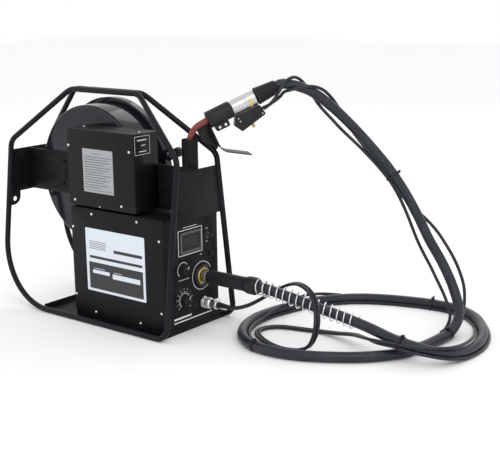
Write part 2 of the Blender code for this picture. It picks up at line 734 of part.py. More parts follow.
def make_front_panel(finish):
    foot = PAN_RIM + GAP
    panel = slab("front_panel", rectangle(PANEL_Y, (foot, LOWER_TOP)), "X", (PANEL_X, PANEL_X + SHEET), finish)
    through = (-6 * MM, 6 * MM)
    round_holes = [((WIRE_Y, WIRE_Z), BRASS_R + 1.5 * MM), (VOLTAGE_KNOB, 4 * MM), (SPEED_KNOB, 4 * MM)]
    round_holes += [(TOGGLE, 5 * MM), (BUTTON, 5.5 * MM), (CONNECTOR, 10 * MM)]
    for number, (spot, radius) in enumerate(round_holes):
        cut(panel, rod(f"panel_hole_{number}", radius, through, finish, 12, panel_place(spot, PANEL_X)))
    window = display_inset(4 * MM, 4 * MM)
    return cut(panel, slab("meter_hole", window, "X", (PANEL_X - 5 * MM, PANEL_X + 5 * MM), finish))


# ---------------------------------------------------------------- wire drive


def drive_centre():
    """The drive gear's axis, in mesh with both lower rolls."""
    pitch = GEAR_MODULE * (DRIVE_TEETH + ROLL_TEETH) / 2
    half = (ROLL_X[1] - ROLL_X[0]) / 2
    return Vector(((ROLL_X[0] + ROLL_X[1]) / 2, WIRE_Y, lower_z() - math.sqrt(pitch * pitch - half * half)))


def lower_z():
    return WIRE_Z - WIRE_R - GAP - ROLL_R


def idler_z():
    return WIRE_Z + WIRE_R + GAP + ROLL_R


def gear_outline(centre, teeth, phase):
    """Straight-flanked teeth with a little backlash, one of which points along phase."""
    pitch = GEAR_MODULE * teeth / 2
    tip = pitch + 0.85 * GEAR_MODULE
    root = pitch - 1.15 * GEAR_MODULE
    step = math.tau / teeth
    points = []
    for tooth in range(teeth):
        middle = phase + tooth * step
        for radius, share in ((root, -0.30), (tip, -0.11), (tip, 0.11), (root, 0.30)):
            angle = middle + share * step
            points.append((centre[0] + radius * math.cos(angle), centre[1] + radius * math.sin(angle)))
    return points


def mesh_phase(centre, follower, drive_phase):
    """The follower gear's phase that puts one of its gaps on the drive gear's tooth."""
    toward = math.atan2(follower[1] - centre[1], follower[0] - centre[0])
    drive_step = math.tau / DRIVE_TEETH
    off = (drive_phase - toward + drive_step / 2) % drive_step - drive_step / 2
    gap_at = toward + math.pi - off * DRIVE_TEETH / ROLL_TEETH
    return gap_at + math.pi / ROLL_TEETH


def make_rolls(steel):
    centre = drive_centre()
    spot = (centre.x, centre.z)
    phase = math.radians(10)
    gear = slab("drive_gear", gear_outline(spot, DRIVE_TEETH, phase), "Y", GEAR_Y, steel)
    shaft = y_rod("output_shaft", SHAFT_R, spot, (-30 * MM, GEAR_Y[1] + 5 * MM), steel, BORE_STEPS, 0.6 * MM)
    fuse(gear, shaft, y_rod("gear_nut", 9 * MM, spot, (GEAR_Y[1] - 1 * MM, GEAR_Y[1] + 3 * MM), steel, 6))
    hold(joint_frame("drive_gear_turn", along((0, 1, 0), centre)), gear)

    low, high = WIRE_Y - ROLL_WIDTH / 2, WIRE_Y + ROLL_WIDTH / 2
    groove = 0.8 * MM
    neck = 10 * MM
    start = GEAR_Y[1] - 1 * MM
    profile = [(0, start), (neck, start), (neck, low), (ROLL_R, low), (ROLL_R, WIRE_Y - groove)]
    profile += [(ROLL_R - groove, WIRE_Y), (ROLL_R, WIRE_Y + groove), (ROLL_R, high), (0, high)]
    for name, x in zip(("rear", "front"), ROLL_X):
        roll = (x, lower_z())
        roll_phase = mesh_phase(spot, roll, phase)
        toothed = slab(f"lower_roll_{name}", gear_outline(roll, ROLL_TEETH, roll_phase), "Y", GEAR_Y, steel)
        tread = turned(f"roll_tread_{name}", profile, steel, 20, along((0, 1, 0), (x, 0, lower_z())))
        spindle_span = (FEED_PLATE_Y[0] + 1 * MM, GEAR_Y[0] + 1 * MM)
        fuse(toothed, tread, y_rod(f"roll_spindle_{name}", SHAFT_R, roll, spindle_span, steel, BORE_STEPS))
        hold(joint_frame(f"lower_roll_{name}_turn", along((0, 1, 0), (x, WIRE_Y, lower_z()))), toothed)


def make_feed_plate(finish):
    left, right = 116 * MM, 232 * MM
    low, high = 52 * MM, 176 * MM
    outline = rounded(rectangle((left, right), (low, high)), 6 * MM, 2)
    plate = slab("feed_plate", outline, "Y", FEED_PLATE_Y, finish)
    inset = 9 * MM
    middle = (ROLL_X[0] + ROLL_X[1]) / 2
    feet = ((left + inset, low + inset), (right - inset, low + inset), (middle, high - inset))
    for number, spot in enumerate(feet):
        span = (CENTRE_FACE + GAP, FEED_PLATE_Y[0] + 1 * MM)
        fuse(plate, y_rod(f"standoff_{number}", 6 * MM, spot, span, finish, 10))
    bores = [(x, lower_z()) for x in ROLL_X] + [(drive_centre().x, drive_centre().z)]
    through = (FEED_PLATE_Y[0] - 2 * MM, FEED_PLATE_Y[1] + 2 * MM)
    for number, spot in enumerate(bores):
        cut(plate, y_rod(f"bearing_{number}", SHAFT_R + RUNNING, spot, through, finish, BORE_STEPS))
    for number, spot in enumerate(ARM_PIVOTS):
        span = (FEED_PLATE_Y[1] - 1 * MM, ARM_Y[1] + 3 * MM)
        fuse(plate, y_rod(f"arm_pin_{number}", ARM_PIN_R, spot, span, finish, BORE_STEPS))
    half = 5 * MM
    clear = ROLL_R + 1.7 * MM
    guide_y = (FEED_PLATE_Y[1] - 1 * MM, WIRE_Y + half)
    guides = (("inlet", (left + 1 * MM, ROLL_X[0] - clear)), ("middle", (ROLL_X[0] + clear, ROLL_X[1] - clear)))
    for name, span in guides:
        fuse(plate, slab(f"{name}_guide", *block(span, guide_y, (WIRE_Z - half, WIRE_Z + half)), finish))
    line = along((1, 0, 0), (0, WIRE_Y, WIRE_Z))
    return cut(plate, rod("guide_bore", WIRE_R + GAP, (left - 6 * MM, ROLL_X[1]), finish, 8, line))


def make_pressure_arms(finish, steel, plastic):
    top = idler_z()
    roll_y = (WIRE_Y - ROLL_WIDTH / 2, WIRE_Y + ROLL_WIDTH / 2)
    middle_y = (ARM_Y[0] + ARM_Y[1]) / 2
    for name, (pivot_x, pivot_z), roll_x in zip(("rear", "front"), ARM_PIVOTS, ROLL_X):
        inward = 1 if roll_x > pivot_x else -1
        nose = roll_x + inward * 14 * MM
        outline = [(pivot_x - inward * 8 * MM, pivot_z - 4 * MM), (roll_x - inward * 2 * MM, top - 8 * MM)]
        outline += [(roll_x + inward * 7 * MM, top - 6 * MM), (nose - inward * 2 * MM, pivot_z - 1 * MM)]
        outline += [(nose, pivot_z + 8 * MM), (pivot_x - inward * 4 * MM, pivot_z + 8 * MM)]
        arm = slab(f"pressure_arm_{name}", rounded(outline, 3 * MM, 2), "Y", ARM_Y, finish)
        bore = ARM_PIN_R + RUNNING
        through = (ARM_Y[0] - 2 * MM, ARM_Y[1] + 2 * MM)
        cut(arm, y_rod(f"arm_bore_{name}", bore, (pivot_x, pivot_z), through, finish, BORE_STEPS))
        pin_span = (roll_y[0] - 2 * MM, ARM_Y[0] + 1 * MM)
        fuse(arm, y_rod(f"idler_pin_{name}", ARM_PIN_R, (roll_x, top), pin_span, finish, BORE_STEPS))
        idler_place = along((0, 1, 0), (roll_x, 0, top))
        idler = sleeve(f"idler_roll_{name}", bore, ROLL_R, roll_y, steel, BORE_STEPS, idler_place)

        post_x = nose - inward * 6 * MM
        post_place = along((0, 0, 1), (post_x, middle_y, 0))
        post_span = (pivot_z + 6 * MM, pivot_z + 26 * MM)
        fuse(arm, rod(f"knob_post_{name}", POST_R, post_span, finish, 16, post_place))
        low = pivot_z + 8 * MM + GAP
        bore = POST_R + RUNNING
        profile = [(bore, low), (5.5 * MM, low), (5.5 * MM, low + 3 * MM), (7.5 * MM, low + 5 * MM)]
        profile += [(7.5 * MM, low + 18 * MM), (6.5 * MM, low + 20 * MM), (bore, low + 20 * MM)]
        knob = turned(f"pressure_knob_{name}", profile, plastic, 16, post_place)

        arm_frame = joint_frame(f"pressure_arm_{name}_turn", along((0, 1, 0), (pivot_x, ARM_Y[0], pivot_z)))
        idler_frame = joint_frame(f"idler_roll_{name}_turn", along((0, 1, 0), (roll_x, WIRE_Y, top)))
        knob_frame = joint_frame(f"pressure_knob_{name}_turn", along((0, 0, 1), (post_x, middle_y, low)))
        hold(arm_frame, arm, idler_frame, knob_frame)
        hold(idler_frame, idler)
        hold(knob_frame, knob)


def make_motor(steel, cast):
    centre = drive_centre()
    spot = (centre.x, centre.z)
    gear_y = (-60 * MM, CENTRE_FACE - 2 * MM - GAP)
    gear_x = (centre.x - 24 * MM, centre.x + 24 * MM)
    outline = rounded(rectangle(gear_x, (centre.z - 24 * MM, centre.z + 27 * MM)), 6 * MM, 2)
    case = slab("gearbox", outline, "Y", gear_y, cast, edge=2 * MM)
    fuse(case, y_rod("gear_boss", 8.5 * MM, spot, (gear_y[1] - 1 * MM, FEED_PLATE_Y[0] - 1 * MM), cast, 20))
    bore_span = (-30 * MM - GAP, FEED_PLATE_Y[0] + 2 * MM)
    cut(case, y_rod("boss_bore", SHAFT_R + RUNNING, spot, bore_span, cast, BORE_STEPS))

    motor_y = (gear_y[0] + gear_y[1]) / 2 - 10 * MM
    low, high = gear_x[0] - GAP - MOTOR_LENGTH, gear_x[0] - GAP
    cap = 6 * MM
    edge = 3 * MM
    profile = [(0, low), (12 * MM, low), (12 * MM, low + cap), (MOTOR_R - edge, low + cap)]
    profile += [(MOTOR_R, low + cap + edge), (MOTOR_R, high - edge), (MOTOR_R - edge, high), (0, high)]
    turned("feed_motor", profile, steel, 20, along((1, 0, 0), (0, motor_y, centre.z)))


def make_conduit(finish):
    route = [(98, 262), (94, 230), (84, 190), (80, 160), (84, 135), (97, 119), (115.5, 114.3)]  # (x, z) in mm
    points = smooth_curve([(x * MM, WIRE_Y, z * MM) for x, z in route], 11 * MM)
    return tube("wire_conduit", points, 4 * MM, finish, 1)


# ---------------------------------------------------------------- front panel fittings


def panel_place(spot, x=0.0):
    return along((1, 0, 0), (x, spot[0], spot[1]))


def make_socket(brass, dark):
    back = PANEL_X - 23 * MM
    front = PANEL_X + SHEET
    hole = WIRE_R + GAP
    step = PANEL_X - 6 * MM
    profile = [(hole, back), (12 * MM, back), (12 * MM, step), (BRASS_R, step), (BRASS_R, front + 5 * MM)]
    profile += [(16 * MM, front + 7 * MM), (hole, front + 7 * MM)]
    turned("euro_socket", profile, brass, 20, panel_place((WIRE_Y, WIRE_Z)))
    inner = BRASS_R + 0.5 * MM
    ring = [(inner, front + GAP), (SOCKET_R, front + GAP), (SOCKET_R, front + 2.5 * MM)]
    ring += [(SOCKET_R - 2 * MM, front + 4 * MM), (inner, front + 4 * MM)]
    turned("socket_flange", ring, dark, 24, panel_place((WIRE_Y, WIRE_Z)))
    wire_span = (116 * MM, back + 12 * MM)
    rod("welding_wire", WIRE_R, wire_span, brass, 8, along((1, 0, 0), (0, WIRE_Y, WIRE_Z)))


def make_dial_knob(name, spot, radius, finish):
    """A pointer knob with its spindle, which turns in the resistor behind the panel."""
    front = PANEL_X + SHEET
    place = panel_place(spot)
    grip = fluted(radius, radius - 0.7 * MM, 6)
    knob = slab(name, grip, "Z", (front + 3 * MM, front + 13 * MM), finish, edge=1 * MM)
    knob.matrix_world = place
    skirt = rod(f"{name}_skirt", radius + 1 * MM, (front + 0.6 * MM, front + 4 * MM), finish, 16, place)
    spindle_span = (PANEL_X - 12 * MM, front + 4 * MM)
    fuse(knob, skirt, rod(f"{name}_spindle", SPINDLE_R, spindle_span, finish, 16, place))
    hold(joint_frame(f"{name}_turn", panel_place(spot, front)), knob)


def make_control_board(green, dark):
    """Printed board behind the panel with the two dials' resistors, whose bores take the spindles."""
    low = PANEL_X - SHEET - 22 * MM
    sheet = block((low, low + 1.6 * MM), (-66 * MM, -21 * MM), (52 * MM, 160 * MM))
    board = slab("control_board", *sheet, green)
    dials = (("voltage", VOLTAGE_KNOB), ("speed", SPEED_KNOB))
    for name, spot in dials:
        can_span = (low + 1 * MM, PANEL_X - 4 * MM)
        fuse(board, rod(f"{name}_resistor", 8 * MM, can_span, dark, 12, panel_place(spot)))
    for name, spot in dials:
        bore_span = (PANEL_X - 12.4 * MM, PANEL_X)
        cut(board, rod(f"{name}_bore", SPINDLE_R + RUNNING, bore_span, dark, 16, panel_place(spot)))
    chip = block((low - 6 * MM, low + 0.5 * MM), (-60 * MM, -40 * MM), (92 * MM, 118 * MM))
    return fuse(board, slab("driver_chip", *chip, dark))


def make_meter(dark):
    front = PANEL_X + SHEET
    outline = rounded(rectangle(DISPLAY_Y, DISPLAY_Z), 2 * MM)
    meter = slab("volt_meter", outline, "X", (front + GAP, front + 3.5 * MM), dark, edge=0.8 * MM, both=False)
    body = display_inset(4.4 * MM, 4.4 * MM)
    fuse(meter, slab("meter_body", body, "X", (PANEL_X - METER_DEPTH, front + 1 * MM), dark))
    window = display_inset(7 * MM, 9 * MM)
    return cut(meter, slab("meter_window", window, "X", (front + 2.4 * MM, front + 6 * MM), dark))


def display_inset(a, b):
    """The display's rectangle with its sides moved in by a and its top and foot by b."""
    return rectangle((DISPLAY_Y[0] + a, DISPLAY_Y[1] - a), (DISPLAY_Z[0] + b, DISPLAY_Z[1] - b))


def make_switches(steel, dark):
    front = PANEL_X + SHEET
    back = PANEL_X - 14 * MM
    bush = [(2.6 * MM, back), (8 * MM, back), (8 * MM, PANEL_X - 1 * MM), (4.7 * MM, PANEL_X - 1 * MM)]
    bush += [(4.7 * MM, front + 4 * MM), (3.6 * MM, front + 4 * MM), (3.6 * MM, PANEL_X - 5 * MM)]
    bush += [(2.6 * MM, PANEL_X - 5 * MM)]
    turned("toggle_switch_body", bush, steel, 12, panel_place(TOGGLE))
    profile = [(0, -3 * MM), (2.4 * MM, -2.2 * MM), (3.2 * MM, 0), (2.4 * MM, 2.2 * MM), (1.3 * MM, 3.2 * MM)]
    profile += [(1.6 * MM, 10 * MM), (2.4 * MM, 16 * MM), (1.6 * MM, 17.6 * MM), (0, 18 * MM)]
    lever = turned("toggle_lever", profile, steel, 12, panel_place(TOGGLE, front))
    hold(joint_frame("toggle_pivot", along((0, 1, 0), (front, *TOGGLE))), lever)

    body = [(BUTTON_R, PANEL_X - 15 * MM), (7.5 * MM, PANEL_X - 15 * MM), (7.5 * MM, PANEL_X - 1 * MM)]
    body += [(5.2 * MM, PANEL_X - 1 * MM), (5.2 * MM, front + GAP), (6.6 * MM, front + GAP)]
    body += [(6.6 * MM, front + 2 * MM), (BUTTON_R, front + 2 * MM)]
    turned("button_switch_body", body, dark, 12, panel_place(BUTTON))
    span = (PANEL_X - 8 * MM, front + 5 * MM)
    plunger = rod("inch_button", BUTTON_R - GAP, span, dark, 12, panel_place(BUTTON), 0.6 * MM)
    hold(joint_frame("inch_button_slide", panel_place(BUTTON, front)), plunger)


def make_control_socket(chrome):
    """The hexagonal connector with its plug; it gives the x of the plug's end."""
    front = PANEL_X + SHEET
    hexagon = ring_points(CONNECTOR, CONNECTOR_R, 6, 0.5)
    socket = slab("control_socket", hexagon, "X", (front + GAP, front + 6 * MM), chrome, edge=0.8 * MM)
    thread_end = front + 12.5 * MM
    place = panel_place(CONNECTOR)
    thread = rod("socket_thread", 9.6 * MM, (PANEL_X - 12 * MM, thread_end), chrome, 16, place)
    nut = ring_points(CONNECTOR, 13 * MM, 6)
    fuse(socket, thread, slab("socket_nut", nut, "X", (PANEL_X - 5 * MM, PANEL_X - GAP), chrome))
    start = thread_end + GAP
    end = start + 31.5 * MM
    plug = [(0, start), (12 * MM, start), (12 * MM, start + 10 * MM), (9.5 * MM, start + 12 * MM)]
    plug += [(9.5 * MM, start + 20 * MM), (11 * MM, start + 21 * MM), (11 * MM, end - 1.5 * MM)]
    plug += [(9 * MM, end), (0, end)]
    turned("control_plug", plug, chrome, 16, place)
    return end


# ---------------------------------------------------------------- torch lead


# Route points of the torch lead, between the plug handle and the gun's boot
LEAD_ROUTE = [
    (0.4260, 0.0340, 0.1118),
    (0.4460, 0.0390, 0.1070),
    (0.4890, 0.0500, 0.0960),
    (0.5500, 0.0700, 0.0780),
    (0.5970, 0.0830, 0.0660),
    (0.6300, 0.0900, 0.0560),
    (0.6720, 0.0920, 0.0450),
    (0.7130, 0.0880, 0.0400),
    (0.7460, 0.0860, 0.0380),
    (0.7730, 0.0980, 0.0310),
    (0.7920, 0.1310, 0.0210),
    (0.8030, 0.1720, 0.0130),
    (0.8050, 0.2200, 0.0113),
    (0.7970, 0.2710, 0.0113),
    (0.7790, 0.3130, 0.0113),
    (0.7440, 0.3690, 0.0113),
    (0.6950, 0.4150, 0.0113),
    (0.6420, 0.4330, 0.0113),
    (0.5900, 0.4310, 0.0113),
    (0.5400, 0.4200, 0.0113),
    (0.4940, 0.4050, 0.0113),
    (0.4520, 0.3850, 0.0113),
    (0.4100, 0.3550, 0.0113),
    (0.3770, 0.3140, 0.0113),
    (0.3540, 0.2720, 0.0113),
    (0.3400, 0.2260, 0.0113),
    (0.3280, 0.1700, 0.0113),
    (0.3260, 0.1200, 0.0113),
    (0.3350, 0.0720, 0.0113),
    (0.3600, 0.0230, 0.0113),
    (0.3980, -0.0170, 0.0113),
    (0.4430, -0.0380, 0.0113),
    (0.4940, -0.0400, 0.0113),
    (0.5490, -0.0260, 0.0113),
    (0.6090, 0.0060, 0.0113),
    (0.6600, 0.0450, 0.0113),
    (0.6930, 0.0860, 0.0113),
    (0.7120, 0.1300, 0.0113),
    (0.7200, 0.1750, 0.0113),
    (0.7240, 0.2200, 0.0113),
    (0.7280, 0.2550, 0.0140),
    (0.7290, 0.2850, 0.0280),
    (0.7170, 0.3230, 0.0480),
    (0.6980, 0.3400, 0.0740),
    (0.6840, 0.3440, 0.1040),
    (0.6720, 0.3450, 0.1270),
    (0.6540, 0.3430, 0.1490),
    (0.6310, 0.3380, 0.1900),
    (0.6070, 0.3300, 0.2400),
    (0.5830, 0.3200, 0.2860),
    (0.5600, 0.3090, 0.3260),
    (0.5370, 0.2960, 0.3600),
    (0.5020, 0.2740, 0.4080),
    (0.4640, 0.2480, 0.4560),
    (0.4290, 0.2210, 0.4950),
    (0.4080, 0.2030, 0.5130),
    (0.3870, 0.1840, 0.5260),
]

# Route points of the first thin lead, from the control plug to the torch lead's side
THIN_ROUTE = [
    (0.3300, 0.0380, 0.0530),
    (0.3520, 0.0520, 0.0600),
    (0.3750, 0.0680, 0.0740),
    (0.4000, 0.0800, 0.0920),
    (0.4270, 0.0840, 0.1080),
    (0.4520, 0.0790, 0.1190),
    (0.4760, 0.0680, 0.1250),
    (0.4980, 0.0570, 0.1260),
    (0.5170, 0.0490, 0.1210),
    (0.5340, 0.0400, 0.1120),
    (0.5480, 0.0290, 0.0970),
    (0.5570, 0.0190, 0.0780),
    (0.5590, 0.0130, 0.0580),
    (0.5540, 0.0120, 0.0380),
    (0.5430, 0.0130, 0.0200),
    (0.5270, 0.0120, 0.0080),
    (0.5070, 0.0060, 0.0040),
    (0.4800, 0.0000, 0.0040),
    (0.4500, 0.0060, 0.0040),
    (0.4180, 0.0200, 0.0040),
    (0.3900, 0.0390, 0.0040),
    (0.3720, 0.0640, 0.0040),
    (0.3750, 0.0900, 0.0040),
    (0.3970, 0.1120, 0.0040),
    (0.4380, 0.1240, 0.0040),
    (0.4890, 0.1350, 0.0050),
    (0.5350, 0.1310, 0.0110),
    (0.5770, 0.1210, 0.0200),
    (0.6200, 0.0980, 0.0280),
    (0.6560, 0.0790, 0.0330),
    (0.6850, 0.0730, 0.0360),
]
# Points of the torch lead's route where the thin leads join it, cross over it, and leave the floor with it
THIN_JOINS = (0.7130, 0.0880, 0.0400)
SECOND_CROSSED = (0.7440, 0.3690, 0.0113)
FIRST_CROSSES = (0.4520, 0.3850, 0.0113)
FIRST_CROSSED = (0.3260, 0.1200, 0.0113)
THIN_RISES = (0.7240, 0.2200, 0.0113)
THIN_STEP = 28 * MM
THIN_REST = 4 * MM  # height of a thin lead that lies on the floor
LEAD_STEP = 60 * MM
SIDE_ANGLE = math.radians(119.6)  # from the torch lead's top to a thin lead on the floor against it
UNDER_ANGLE = math.radians(155)  # to a thin lead under the torch lead in the air
NESTLED = math.radians(28.8)  # turn round the torch lead that sets the thin leads side by side
CROSSING_SLACK = 2.5 * MM  # room between the leads where one crosses over the other


def make_plug(steel, handle):
    front = PANEL_X + SHEET + 7 * MM + GAP
    bore = 5 * MM
    nut_profile = [(bore + RUNNING, front), (13 * MM, front), (14 * MM, front + 1.5 * MM)]
    nut_profile += [(14 * MM, NUT_END - 1 * MM), (13 * MM, NUT_END), (bore + RUNNING, NUT_END)]
    nut = turned("plug_nut", nut_profile, steel, BORE_STEPS, panel_place((WIRE_Y, WIRE_Z)))
    hold(joint_frame("plug_nut_turn", panel_place((WIRE_Y, WIRE_Z), front)), nut)
    start = NUT_END + GAP
    profile = [(0, front), (bore, front), (bore, start), (HANDLE_R, start), (HANDLE_R, start + 100 * MM)]
    profile += [(HANDLE_R + 3.5 * MM, start + 112 * MM), (HANDLE_R + 3.5 * MM, HANDLE_END - 5 * MM)]
    profile += [(HANDLE_R + 1 * MM, HANDLE_END), (0, HANDLE_END)]
    turned("torch_plug_handle", profile, handle, BORE_STEPS, panel_place((WIRE_Y, WIRE_Z)))


def lead_path(spacing):
    """Straight out of the handle, along the route, and straight into the gun's boot."""
    stub = 12 * MM
    start = Vector((HANDLE_END + GAP, WIRE_Y, WIRE_Z))
    place = gun_place()
    end = place @ Vector((BOOT_END + GAP, 0, 0))
    before_end = place @ Vector((BOOT_END + GAP + stub, 0, 0))
    route = [start + Vector((stub, 0, 0)), *LEAD_ROUTE, before_end]
    return [start] + smooth_curve(route, spacing) + [end]


def beside(points, at, angle, slack=0.0):
    """A point beside the torch lead at one of its own points; the angle runs from its top to its right side."""
    tangent = (points[at + 1] - points[at - 1]).normalized()
    side = tangent.cross(Vector((0, 0, 1))).normalized()
    reach = LEAD_R + THIN_R + GAP + slack
    return points[at] + reach * (side.cross(tangent) * math.cos(angle) + side * math.sin(angle))


def nearest(points, goal):
    return min(range(len(points)), key=lambda i: (points[i] - Vector(goal)).length)


def crossed(at, start, end, before, after):
    """The angle and slack of a thin lead that crosses over the torch lead between two of its points."""
    share = min(max((at - start) / (end - start), 0.0), 1.0)
    return before + (after - before) * share, CROSSING_SLACK * 4 * share * (1 - share)


def eased(share):
    share = min(max(share, 0.0), 1.0)
    return share * share * (3 - 2 * share)


def pair_sides(points, first_side, last_side):
    """The direction from one thin lead to the other along their middle line, kept level without sudden turns."""
    level = []
    for i in range(len(points)):
        ahead = points[min(i + 1, len(points) - 1)] - points[max(i - 1, 0)]
        flat = Vector((ahead.x, ahead.y, 0))
        steep = flat.length < 0.6 * ahead.length
        level.append(None if steep else Vector((0, 0, 1)).cross(flat).normalized())
    previous = first_side
    for i, side in enumerate(level):
        if side is None:
            later = next(item for item in level[i:] if item is not None)
            side = previous.lerp(later if later.dot(previous) > 0 else -later, 0.2)
        elif side.dot(previous) < 0:
            side = -side
        previous = side.normalized()
        level[i] = previous
    for i in range(len(level)):
        level[i] = level[i].lerp(last_side, eased((i - len(level) + 6) / 5))
    for _ in range(2):
        around = zip([first_side] + level[:-1], level, level[1:] + [last_side])
        level = [(a + 2 * b + c) / 4 for a, b, c in around]
    sides = []
    for i, side in enumerate(level):
        tangent = (points[min(i + 1, len(points) - 1)] - points[max(i - 1, 0)]).normalized()
        sides.append((side - tangent * side.dot(tangent)).normalized())
    return sides


def attached_paths(lead, last):
    """Both thin leads along the torch lead, as far as its point numbered last."""
    join = nearest(lead, THIN_JOINS)
    second_crossed = nearest(lead, SECOND_CROSSED)
    first_crosses = nearest(lead, FIRST_CROSSES)
    first_crossed = nearest(lead, FIRST_CROSSED)
    rise = nearest(lead, THIN_RISES)
    upper = SIDE_ANGLE - NESTLED
    first = []
    second = []
    for at in range(join, last + 1):
        under = eased((at - rise - 1) / (0.35 * (last - rise)))
        angle, slack = crossed(at, first_crosses, first_crossed, SIDE_ANGLE, -upper)
        first.append(beside(lead, at, angle + (upper - UNDER_ANGLE) * under, slack))
        angle, slack = crossed(at, join, second_crossed, upper, -SIDE_ANGLE)
        second.append(beside(lead, at, angle + (SIDE_ANGLE + UNDER_ANGLE - math.tau) * under, slack))
    return first, second


def thin_paths(lead, spacing, start_x):
    """Both thin leads: side by side from the plug, then held to the torch lead, and into the trigger box."""
    place = gun_place()
    last = nearest(lead, place @ Vector((BOOT_END + 62 * MM, 0, 0)))
    held_first, held_second = attached_paths(lead, last)
    start = Vector((start_x + GAP, CONNECTOR[0], CONNECTOR[1]))
    route = [start + Vector((14 * MM, 0, 0)), *THIN_ROUTE, (held_first[0] + held_second[0]) / 2]
    middle = [start] + smooth_curve(route, spacing)
    sides = pair_sides(middle, Vector((0, 1, 0)), (held_second[0] - held_first[0]).normalized())
    first = []
    second = []
    for point, side in zip(middle[:-1], sides):
        reach = side * (THIN_R + GAP / 2)
        lift = max(0.0, THIN_REST - point.z + abs(reach.z))
        raised = point + Vector((0, 0, lift))
        first.append(raised - reach)
        second.append(raised + reach)
    entry = [(182 * MM, 9 * MM, -20.5 * MM), (168 * MM, 8 * MM, -26 * MM), (150 * MM, 7.5 * MM, -28.5 * MM)]
    entry += [(134 * MM, 6.5 * MM, -30 * MM), (TRIGGER_BOX_END + GAP, 6.5 * MM, -30 * MM)]
    for path, held, side in ((first, held_first, -1), (second, held_second, 1)):
        path += held + [place @ Vector((ahead, side * across, up)) for ahead, across, up in entry]
    return first, second


def make_spring(lead, finish):
    """A coiled wire round the first stretch of the lead."""
    spacing = 2 * MM
    fine = respaced(lead, spacing)
    first = round(SPRING_START / spacing)
    core = fine[first : first + round(SPRING_LENGTH / spacing)]
    count = SPRING_TURNS * 6
    helix = []
    for k in range(count + 1):
        at = (len(core) - 1) * k / count
        low = min(int(at), len(core) - 2)
        tangent = (core[low + 1] - core[low]).normalized()
        side = tangent.cross(Vector((0, 0, 1))).normalized()
        angle = math.tau * SPRING_TURNS * k / count
        around = side.cross(tangent) * math.cos(angle) + side * math.sin(angle)
        helix.append(core[low].lerp(core[low + 1], at - low) + SPRING_R * around)
    tube("support_spring", helix, SPRING_WIRE, finish, 0)


def make_leads(rubber, steel, plug_end):
    lead = lead_path(LEAD_STEP)
    tube("torch_lead", lead, LEAD_R, rubber, 2)
    make_spring(lead_path(4 * MM), steel)
    for name, path in zip("ab", thin_paths(lead, THIN_STEP, plug_end)):
        tube(f"control_lead_{name}", path, THIN_R, rubber, 2)


# ---------------------------------------------------------------- gun


def gun_place():
    """The gun's own frame: X along its barrel, Z across it and upward, at the start of its collar."""
    out = Vector((math.cos(GUN_AZIMUTH), math.sin(GUN_AZIMUTH), 0))
    ahead = out * math.cos(GUN_RISE) + Vector((0, 0, 1)) * math.sin(GUN_RISE)
    upward = Vector((0, 0, 1)) * math.cos(GUN_RISE) - out * math.sin(GUN_RISE)
    across = upward.cross(ahead)
    origin = holder_centre() + out * GUN_START[0] + Vector((0, 0, GUN_START[1]))
    place = Matrix((ahead, across, upward)).transposed().to_4x4()
    place.translation = origin
    return place


def holder_centre():
    return Vector((HOLDER_X, CENTRE_FACE + GAP + HOLDER_R, 0))


